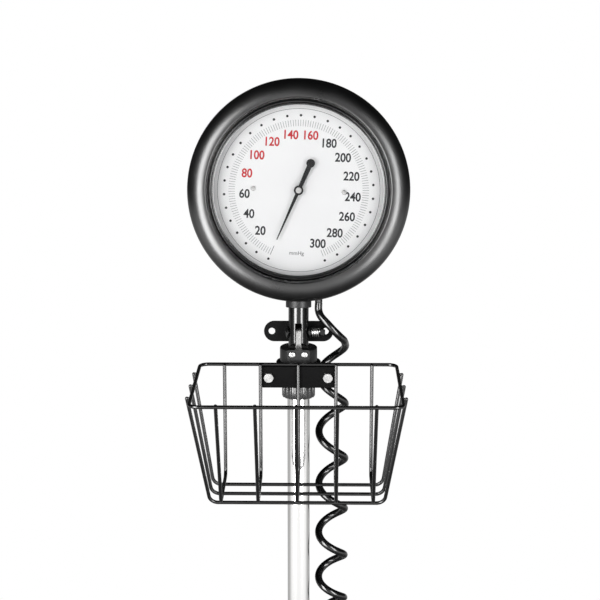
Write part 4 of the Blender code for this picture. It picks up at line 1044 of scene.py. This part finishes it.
def make_dial_screws():
    """Two small slotted screws on the plate."""
    across = dial_screw_distance * math.cos(dial_turn)
    rise = dial_screw_distance * math.sin(dial_turn)
    seat = dial_front + clearance
    for number, (x, y) in enumerate(((-across, rise), (across, -rise)), 1):
        top = seat + dial_screw_height
        profile = [(0, seat), (dial_screw_radius, seat), (dial_screw_radius, seat + dial_screw_height * 0.45)]
        profile += [(dial_screw_radius * 0.75, seat + dial_screw_height * 0.85), (0, top)]
        half = dial_slot_half_width
        long = dial_screw_radius * 1.1
        slot = block((-half, -long, top - dial_slot_depth), (half, long, top + overrun))
        slot.transform(Matrix.Rotation(0.6 * number, 4, "Z"))
        screw = placed(cut(turned(profile, small_steps, edge=fine_edge), slot), gauge @ at(x, y))
        piece(f"plate_screw_{number}", screw, "zinc", "head", [f"dial_screw_{number}"])


def make_pointer():
    """The tapered needle with its round tail weight, and the metal cap in its hub."""
    turn = Matrix.Rotation(-zero_bearing, 4, "Z")
    low = pointer_plane - pointer_thickness / 2
    high = pointer_plane + pointer_thickness / 2
    half_tip = pointer_tip_width / 2
    half_root = pointer_root_width / 2
    half_neck = pointer_tail_root_width / 2
    half_tail = pointer_tail_width / 2
    needle = [(-half_tail, -pointer_tail), (half_tail, -pointer_tail), (half_neck, 0)]
    needle += [(half_root, pointer_shoulder), (half_tip, pointer_length), (-half_tip, pointer_length)]
    needle += [(-half_root, pointer_shoulder), (-half_neck, 0)]
    swell = pointer_thickness / 4
    tail = at(0, -pointer_tail)
    ball = rod(pointer_ball_radius, low - swell, high + swell, small_steps, tail, crisp_edge)
    top = pointer_under + pointer_hub_height
    recess = top - pointer_cap_recess
    rim = [(0, pointer_under), (pointer_hub_radius, pointer_under), (pointer_hub_radius, top)]
    rim += [(pointer_cap_radius, top), (pointer_cap_radius, recess), (0, recess)]
    hub = turned(rim, small_steps, edge=soft_edge)
    mesh = united(prism(needle, low, high), ball, hub)
    piece("needle", placed(mesh, gauge @ turn), "needle", "pointer", ["pointer"])
    step = pointer_cap_step
    cap = [(0, recess), (pointer_cap_radius - step, recess), (pointer_cap_radius - 2 * step, top - 2 * step)]
    cap += [(pointer_cap_radius * 0.4, top - step), (pointer_cap_radius * 0.32, top - 3 * step)]
    cap.append((0, top - 3 * step))
    piece("needle_cap", turned(cap, small_steps, gauge), "cap", "pointer")


def make_neck():
    """The slotted fork, the plate behind it and the friction pivot."""
    deep = fork_radius + overrun
    wide = fork_bottom_radius + overrun
    body = rod(fork_radius, -fork_bottom_radius, fork_top, tube_steps)
    foot_round = rod(fork_bottom_radius, -deep, deep, tube_steps, along_x)
    above = block((-deep, -wide, 0), (deep, wide, fork_top + overrun))
    slot = block((-slot_width / 2, -deep, -wide), (slot_width / 2, deep, slot_above_pivot))
    seat = fork_radius - plate_flat_depth
    half_height = plate_height / 2 + clearance
    back_flat = block((-deep, seat, -half_height), (deep, deep, half_height))
    pin_hole = rod(pin_radius + clearance, -deep, deep, small_steps, along_x)
    fork = cut(common(body, united(foot_round, above)), slot, back_flat, pin_hole)
    piece("neck_fork", placed(fork, head), "neck", "head", ["fork"], soft_edge)

    straight = plate_hole_spacing / 2 + plate_end - plate_height / 2
    quarter = TURN / 4
    outline = arc((straight, 0), plate_height / 2, -quarter, quarter, 28)
    outline += arc((-straight, 0), plate_height / 2, quarter, 3 * quarter, 28)
    holes = []
    for x in (-plate_hole_spacing / 2, plate_hole_spacing / 2):
        holes.append(rod(plate_hole_radius, -overrun, plate_thickness + overrun, small_steps, at(x)))
    plate = cut(prism(outline, 0, plate_thickness), *holes)
    plate.transform(head @ at(0, seat + clearance + plate_thickness) @ facing_front)
    piece("wall_plate", plate, "plate", "head", ["hanger_plate"], soft_edge)

    side = fork_radius + clearance
    washer_end = side + washer_thickness
    spring_start = washer_end + clearance
    nut_start = spring_start + spring_length + clearance
    nut_end = nut_start + nut_height
    pin_end = nut_end + pin_past_nut
    bolt = [(0, -side - pivot_head_height)]
    for a in np.linspace(0, 1.25, 8)[1:]:
        bolt.append((pivot_head_radius * math.sin(a), -side - pivot_head_height * math.cos(a)))
    bolt += [(pivot_head_radius, -side - pivot_head_height * 0.25), (pivot_head_radius, -side)]
    bolt += [(pin_radius, -side), (pin_radius, pin_end - soft_edge)]
    bolt += [(pin_radius - soft_edge, pin_end), (0, pin_end)]
    piece("tilt_bolt", turned(bolt, small_steps, head @ along_x), "neck", "head", ["pivot_bolt"])
    bore = pin_radius + clearance
    washer = pipe(pivot_head_radius, bore, side, washer_end, small_steps, head @ along_x, fine_edge)
    piece("tilt_washer", washer, "neck", "head", ["pivot_washer"])
    nut = cut(hexagon(nut_radius, nut_start, nut_end), rod(bore, nut_start - overrun, nut_end + overrun))
    piece("tilt_nut", placed(nut, head @ along_x), "neck", "head", ["pivot_nut"], crisp_edge)

    radius = spring_outer_radius - spring_wire / 2
    pitch = (spring_length - spring_wire) / spring_curls
    route = []
    for i in range(int(spring_curls * spring_steps) + 1):
        angle = TURN * i / spring_steps
        across = spring_start + spring_wire / 2 + pitch * i / spring_steps
        route.append((across, radius * math.cos(angle), radius * math.sin(angle)))
    spring = wire_curve("tilt_spring", route, spring_wire, head)
    piece("tilt_spring", spring, "spring", "head", ["pivot_spring"])


def make_clamp():
    """The round clamp body on the mast, the flat bar in it and the two cross-head screws."""
    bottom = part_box("mast_head")[0][2]
    base = stand @ at(0, 0, bottom)
    body = rod(mast_head_radius, 0, mast_head_height, 144, edge=mast_head_edge)
    wide = mast_head_radius + overrun
    over = mast_head_height + overrun
    flat = block((-wide, -wide, mast_head_height - front_flat_height), (wide, -front_flat, over))
    foot_half = tongue_foot_width / 2
    deep = tongue_depth / 2
    floor = mast_head_height - tongue_foot_height
    pocket = block(
        (-foot_half - clearance, -deep - clearance, floor - clearance),
        (foot_half + clearance, deep + clearance, over),
    )
    mast_bore = rod(mast_radius + clearance, -overrun, mast_socket_depth, tube_steps)
    screw_height = mast_head_height - head_screw_drop
    body = placed(cut(body, mast_bore, flat, pocket), base)
    piece("clamp_body", body, "clamp", "mast", ["mast_head"], fine_edge)

    rise = pivot.z - bottom
    foot = block((-foot_half, -deep, floor), (foot_half, deep, mast_head_height - clearance))
    side = [(-deep, floor), (deep, floor)] + arc((0, rise), deep, 0, TURN / 2, 32)
    blade = prism(side, -tongue_thickness / 2, tongue_thickness / 2)
    blade.transform(Matrix.Rotation(TURN / 4, 4, "Z") @ Matrix.Rotation(TURN / 4, 4, "X"))
    on_pivot = at(0, 0, rise) @ along_x
    pin_hole = rod(pin_radius + clearance, -tongue_thickness, tongue_thickness, small_steps, on_pivot)
    tongue = cut(united(foot, blade), pin_hole)
    piece("flat_bar", placed(tongue, base), "zinc", "mast", ["pivot_tongue"], worn_edge)

    for number, x in enumerate((-head_screw_spacing / 2, head_screw_spacing / 2), 1):
        seat = front_flat + clearance
        top = seat + head_screw_height
        profile = [(0, seat), (head_screw_radius, seat), (head_screw_radius, seat + head_screw_height * 0.35)]
        for a in np.linspace(0.25, 1, 7):
            share = 0.35 + 0.65 * math.sin(a * TURN / 4)
            profile.append((head_screw_radius * math.cos(a * TURN / 4), seat + head_screw_height * share))
        screw = turned(profile, small_steps)
        long = head_screw_radius * 0.55
        slim = head_screw_radius * 0.13
        cross = [
            block((-long, -slim, top - cross_slot_depth), (long, slim, top + overrun)),
            block((-slim, -long, top - cross_slot_depth), (slim, long, top + overrun)),
        ]
        turn = Matrix.Rotation(0.5 * number, 4, "Z")
        mesh = placed(cut(screw, *cross), base @ at(x, 0, screw_height) @ facing_front @ turn)
        piece(f"clamp_screw_{number}", mesh, "bright", "mast", [f"head_screw_{number}"])


def make_bracket():
    """The basket's front plate, the strap round the clamp body and the two hexagon bolts."""
    low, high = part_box("basket_plate")
    height = high[2] - low[2]
    base = stand @ at(0, 0, low[2])
    back = mast_head_radius + clearance
    front = back + bracket_thickness
    wide = bracket_half_width
    outline = softened([(-wide, 0), (wide, 0), (wide, height), (-wide, height)], bracket_corner, 8, True)
    bolt_places = (-basket_bolt_spacing / 2, basket_bolt_spacing / 2)
    ear_front = -back + clearance
    ear_back = ear_front + bracket_thickness
    bolt_bore = basket_bolt_radius + clearance
    holes = [[], []]
    for x in bolt_places:
        for group in holes:
            place = at(x, 0, height / 2) @ facing_front
            group.append(rod(bolt_bore, -ear_back - overrun, front + overrun, small_steps, place))
    plate = cut(prism(outline, back, front, facing_front), *holes[0])
    piece("bracket_plate", placed(plate, base), "plate", "mast", ["basket_plate"], soft_edge)

    inside = mast_head_radius + clearance
    outside = inside + bracket_thickness
    strap = [(wide, ear_front), (wide, ear_back), (outside, ear_back)] + arc((0, 0), outside, 0, TURN / 2, 64)
    strap += [(-outside, ear_back), (-wide, ear_back), (-wide, ear_front), (-inside, ear_front)]
    strap += arc((0, 0), inside, TURN / 2, 0, 64) + [(inside, ear_front)]
    band = cut(prism(strap, 0, height), *holes[1])
    piece("bracket_strap", placed(band, base), "plate", "mast", ["basket_strap"], soft_edge)

    seat = front + clearance
    shank_end = -ear_back - basket_bolt_past_ear
    for number, x in enumerate(bolt_places, 1):
        head_mesh = hexagon(basket_bolt_head_radius, seat, seat + basket_bolt_head_height)
        shank_top = seat + basket_bolt_in_head
        shank = rod(basket_bolt_radius, shank_end, shank_top, small_steps, edge=soft_edge)
        mesh = placed(united(head_mesh, shank), base @ at(x, 0, height / 2) @ facing_front)
        piece(f"bracket_bolt_{number}", mesh, "bright", "mast", [f"basket_bolt_{number}"], crisp_edge)


def make_poles():
    """The chrome tubes, and the ribbed collar that locks them."""
    for name, solid, radius, wall, body in (
        ("pole_tube", "lower_pole", pole_radius, pole_wall, "stand"),
        ("mast_tube", "mast", mast_radius, mast_wall, "mast"),
    ):
        low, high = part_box(solid)
        tube = pipe(radius, radius - wall, low[2], high[2], pole_steps, stand, fine_edge)
        piece(name, tube, "chrome", body, [solid])

    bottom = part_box("lock_collar")[0][2]
    bore = pole_radius + clearance
    lip_bore = mast_radius + clearance
    lip = collar_height - collar_lip
    edge = collar_chamfer
    levels = [(0.0, edge), (edge * 0.3, edge * 0.3), (edge, 0.0), (collar_height - edge, 0.0)]
    levels += [(collar_height - edge * 0.3, edge * 0.3), (collar_height, edge)]
    count = collar_ribs * 20
    sections = []
    for height, inset in levels:
        ring = []
        for i in range(count):
            angle = TURN * i / count
            wave = math.cos(angle * collar_ribs)
            flute = 0.5 + 0.5 * math.tanh(3 * (wave + 0.15)) / math.tanh(3)
            radius = collar_radius - collar_rib_depth * (1 - flute) - inset
            ring.append((radius * math.cos(angle), radius * math.sin(angle), height))
        sections.append(ring)
    for radius, height in ((lip_bore, collar_height), (lip_bore, lip), (bore, lip), (bore, 0.0)):
        around = [TURN * i / count for i in range(count)]
        sections.append([(radius * math.cos(a), radius * math.sin(a), height) for a in around])
    mesh = placed(lofted(sections, False), stand @ at(0, 0, bottom))
    piece("ribbed_collar", mesh, "ribbed", "collar", ["lock_collar"])


def arm_section(x, inset, below, steps):
    """The arm's D-shaped section at a distance from the hub's axis, drawn in by a wall and let down below."""
    start = hub_radius / 2
    share = min(1.0, (x - start) / (castor_circle - start))
    sink = share * share * (3 - 2 * share)
    low = arm_root_bottom + (arm_end_bottom - arm_root_bottom) * sink - below
    high = arm_root_top + (arm_end_bottom + arm_end_height - arm_root_top) * sink - inset
    half = arm_root_width / 2 + (arm_end_radius - arm_root_width / 2) * share - inset
    past = x - castor_circle
    if past > 0:
        half = max(arm_end_radius / 40, math.sqrt(max(0.0, arm_end_radius**2 - past**2)))
    side_top = low + below + arm_side_height
    dome = [(half * y, side_top + (high - side_top) * z) for y, z in arc((0, 0), 1, 0, TURN / 2, steps)]
    return [(x, half, low)] + [(x, y, z) for y, z in dome] + [(x, -half, low)]


def make_base():
    """The five-arm base, hollow under its arms."""
    hub = [(0, hub_bottom), (hub_radius, hub_bottom)]
    hub += arc((hub_radius - hub_shoulder, hub_top - hub_shoulder), hub_shoulder, 0, TURN / 4, 10)
    hub.append((0, hub_top))
    stations = list(np.linspace(hub_radius / 2, castor_circle, 22))
    stations += [castor_circle + arm_end_radius * math.sin(a) for a in np.linspace(0, TURN / 4, 12)[1:]]
    hollow = np.linspace(hub_radius + arm_wall, castor_circle - stem_radius - clearance - arm_wall, 16)
    stem_bore = stem_radius + clearance
    arms = []
    cavities = []
    for i in range(leg_count):
        turn = Matrix.Rotation(TURN * i / leg_count - TURN / 4, 4, "Z")
        arms.append(placed(lofted([arm_section(x, 0, 0, 24) for x in stations]), turn))
        cavities.append(placed(lofted([arm_section(x, arm_wall, overrun, 16) for x in hollow]), turn))
        socket = rod(stem_bore, arm_end_bottom - overrun, arm_end_bottom + stem_length, small_steps)
        cavities.append(placed(socket, turn @ at(castor_circle)))
    cavities.append(rod(pole_radius + clearance, pole_seat, hub_top + overrun, tube_steps))
    cavities.append(rod(bolt_recess_radius, hub_bottom - overrun, bolt_recess_top, small_steps))
    star = cut(united(turned(hub, tube_steps), *arms), *cavities)
    piece("five_arm_base", placed(star, stand), "base", "stand", ["base_star"])


def make_castors():
    """Twin-cheek forks and their wheels, trailing outward."""
    side_gap = wheel_width / 2 + cheek_gap
    outside = side_gap + cheek_thickness
    far_end = castor_trail + crown_half_length
    eye = (castor_trail, wheel_radius)
    side = [(-crown_half_length, crown_top), (-crown_half_length, crown_bottom - crown_thickness)]
    side += arc(eye, axle_eye_radius, math.radians(215), math.radians(355), 24)
    side += [(castor_trail + axle_eye_radius + crown_thickness, crown_bottom), (castor_trail, crown_top)]
    half = wheel_width / 2
    bore = axle_radius + clearance
    rim = wheel_radius - tyre_thickness
    wheel = [(bore, -half), (wheel_hub_radius, -half), (wheel_hub_radius, wheel_web_recess - half)]
    wheel += [(rim, wheel_web_recess - half), (rim, -half), (wheel_radius - wheel_shoulder, -half)]
    wheel += [(wheel_radius, wheel_shoulder - half), (wheel_radius, half - wheel_shoulder)]
    wheel += [(wheel_radius - wheel_shoulder, half), (rim, half), (rim, half - wheel_web_recess)]
    wheel += [(wheel_hub_radius, half - wheel_web_recess), (wheel_hub_radius, half), (bore, half)]
    for number in range(1, leg_count + 1):
        angle = TURN * (number - 1) / leg_count - TURN / 4
        place = stand @ Matrix.Rotation(angle, 4, "Z") @ at(castor_circle)
        arch = block((-crown_half_length, -outside, 0), (far_end, outside, crown_top))
        near = -crown_half_length - overrun
        tunnel = block((near, -side_gap, -overrun), (far_end + overrun, side_gap, crown_bottom))
        side_view = prism(side, -outside - overrun, outside + overrun, facing_front)
        collar_top = crown_top + crown_collar_height
        collar = rod(crown_collar_radius, crown_top - overrun, collar_top, edge=collar_edge)
        stem_top = collar_top + stem_length
        stem = rod(stem_radius, crown_top, stem_top, edge=stem_edge)
        on_axle = at(castor_trail, 0, wheel_radius) @ facing_front
        axle = rod(axle_radius, -outside, outside, small_steps, on_axle)
        fork = united(common(cut(arch, tunnel), side_view), united(collar, stem), axle)
        name = f"castor_{number}"
        piece(f"{name}_fork", placed(fork, place), "castor", name, [f"castor_fork_{number}"], cast_edge)
        mesh = turned(wheel, wheel_steps, place @ on_axle, worn_edge)
        piece(f"{name}_wheel", mesh, "tread", f"wheel_{number}", [f"castor_wheel_{number}"])


def dress_solids():
    """Materials for the solids that stay; most of these are inside."""
    bpy.data.objects["lens"].visible_shadow = False
    finishes = {
        "glass": ["lens"],
        "dial": ["dial"],
        "zinc": ["base_bolt", "pole_plug", "pinion_arbor", "hairspring", "link"],
        "brass": ["movement_frame", "sector_gear", "capsule_base", "capsule_lid"],
        "case": ["mast_foot", "pole_bush", "hose_nipple"],
    }
    for look, names in finishes.items():
        for name in names:
            mesh = bpy.data.objects[name].data
            mesh.materials.clear()
            mesh.materials.append(looks[look])


def make_basket():
    """Dipped wires with rounded ends, and the small welds where they cross."""
    rim_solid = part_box("basket_rim")
    rim_height = (rim_solid[0][2] + rim_solid[1][2]) / 2
    bottom = rim_height - basket_height
    basket = stand @ at(0, 0, bottom)
    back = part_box("basket_cross_wire_3")[1][1] - pivot.y - wire / 2
    rim_back = back + wire_pitch
    rim_front = rim_back - rim_depth
    front_top = rim_front + wire_pitch
    half = rim_width / 2
    top = basket_height + wire_past_rim
    corners = ((half, rim_back), (half, rim_front), (-half, rim_front), (-half, rim_back))
    rim = []
    for i, corner in enumerate(corners):
        before = corners[i - 1]
        after = corners[(i + 1) % 4]
        bends = [(*place, basket_height) for place in (before, corner, after)]
        rim += rounded_route(bends, rim_corner)[1:-1]
    piece("rim_wire", wire_curve("rim_wire", rim, wire, basket, True), "wire", "mast", ["basket_rim"])

    slope = (rim_depth - 2 * wire_pitch - basket_bottom_depth) / basket_height
    front_bottom = back - basket_bottom_depth
    front_end = front_top - slope * wire_past_rim
    side = half + wire_pitch
    welds = []
    for number, x in enumerate((-outer_wire_x, -inner_wire_x, 0, inner_wire_x, outer_wire_x), 1):
        bends = [(x, back, top), (x, back, 0), (x, front_bottom, 0), (x, front_end, top)]
        route = rounded_route(bends, wire_bend)
        name = f"cross_wire_{number}"
        piece(name, wire_curve(name, route, wire, basket), "wire", "mast", [f"basket_{name}"])
        welds.append((x, back + wire_pitch / 2, basket_height))
        welds.append((x, front_top - wire_pitch / 2, basket_height))
        for low_share in long_wire_bottom_shares:
            welds.append((x, back - basket_bottom_depth * low_share, -wire_pitch / 2))
    for number, (high_share, low_share) in enumerate(zip(long_wire_top_shares, long_wire_bottom_shares), 1):
        high_y = rim_back - rim_depth * high_share
        low_y = back - basket_bottom_depth * low_share
        bends = [(-side, high_y, top), (-long_wire_half_width, low_y, -wire_pitch)]
        bends += [(long_wire_half_width, low_y, -wire_pitch), (side, high_y, top)]
        route = rounded_route(bends, wire_bend)
        name = f"long_wire_{number}"
        piece(name, wire_curve(name, route, wire, basket), "wire", "mast", [f"basket_{name}"])
        for sign in (-1, 1):
            welds.append((sign * (half + wire_pitch / 2), high_y, basket_height))
    blobs = []
    for place in welds:
        work = bmesh.new()
        bmesh.ops.create_uvsphere(work, u_segments=14, v_segments=8, radius=weld_radius)
        blobs.append(to_mesh(work, basket @ Matrix.Translation(place)))
    piece("weld_beads", joined(blobs), "wire", "mast")


bpy.context.scene.view_settings.view_transform = "Standard"
make_camera()
make_hose()
make_lights()
make_floor()
dress_solids()
make_bezel()
make_case()
make_lens_ring()
make_dial_print()
make_dial_screws()
make_pointer()
make_neck()
make_clamp()
make_bracket()
make_poles()
make_base()
make_castors()
make_basket()
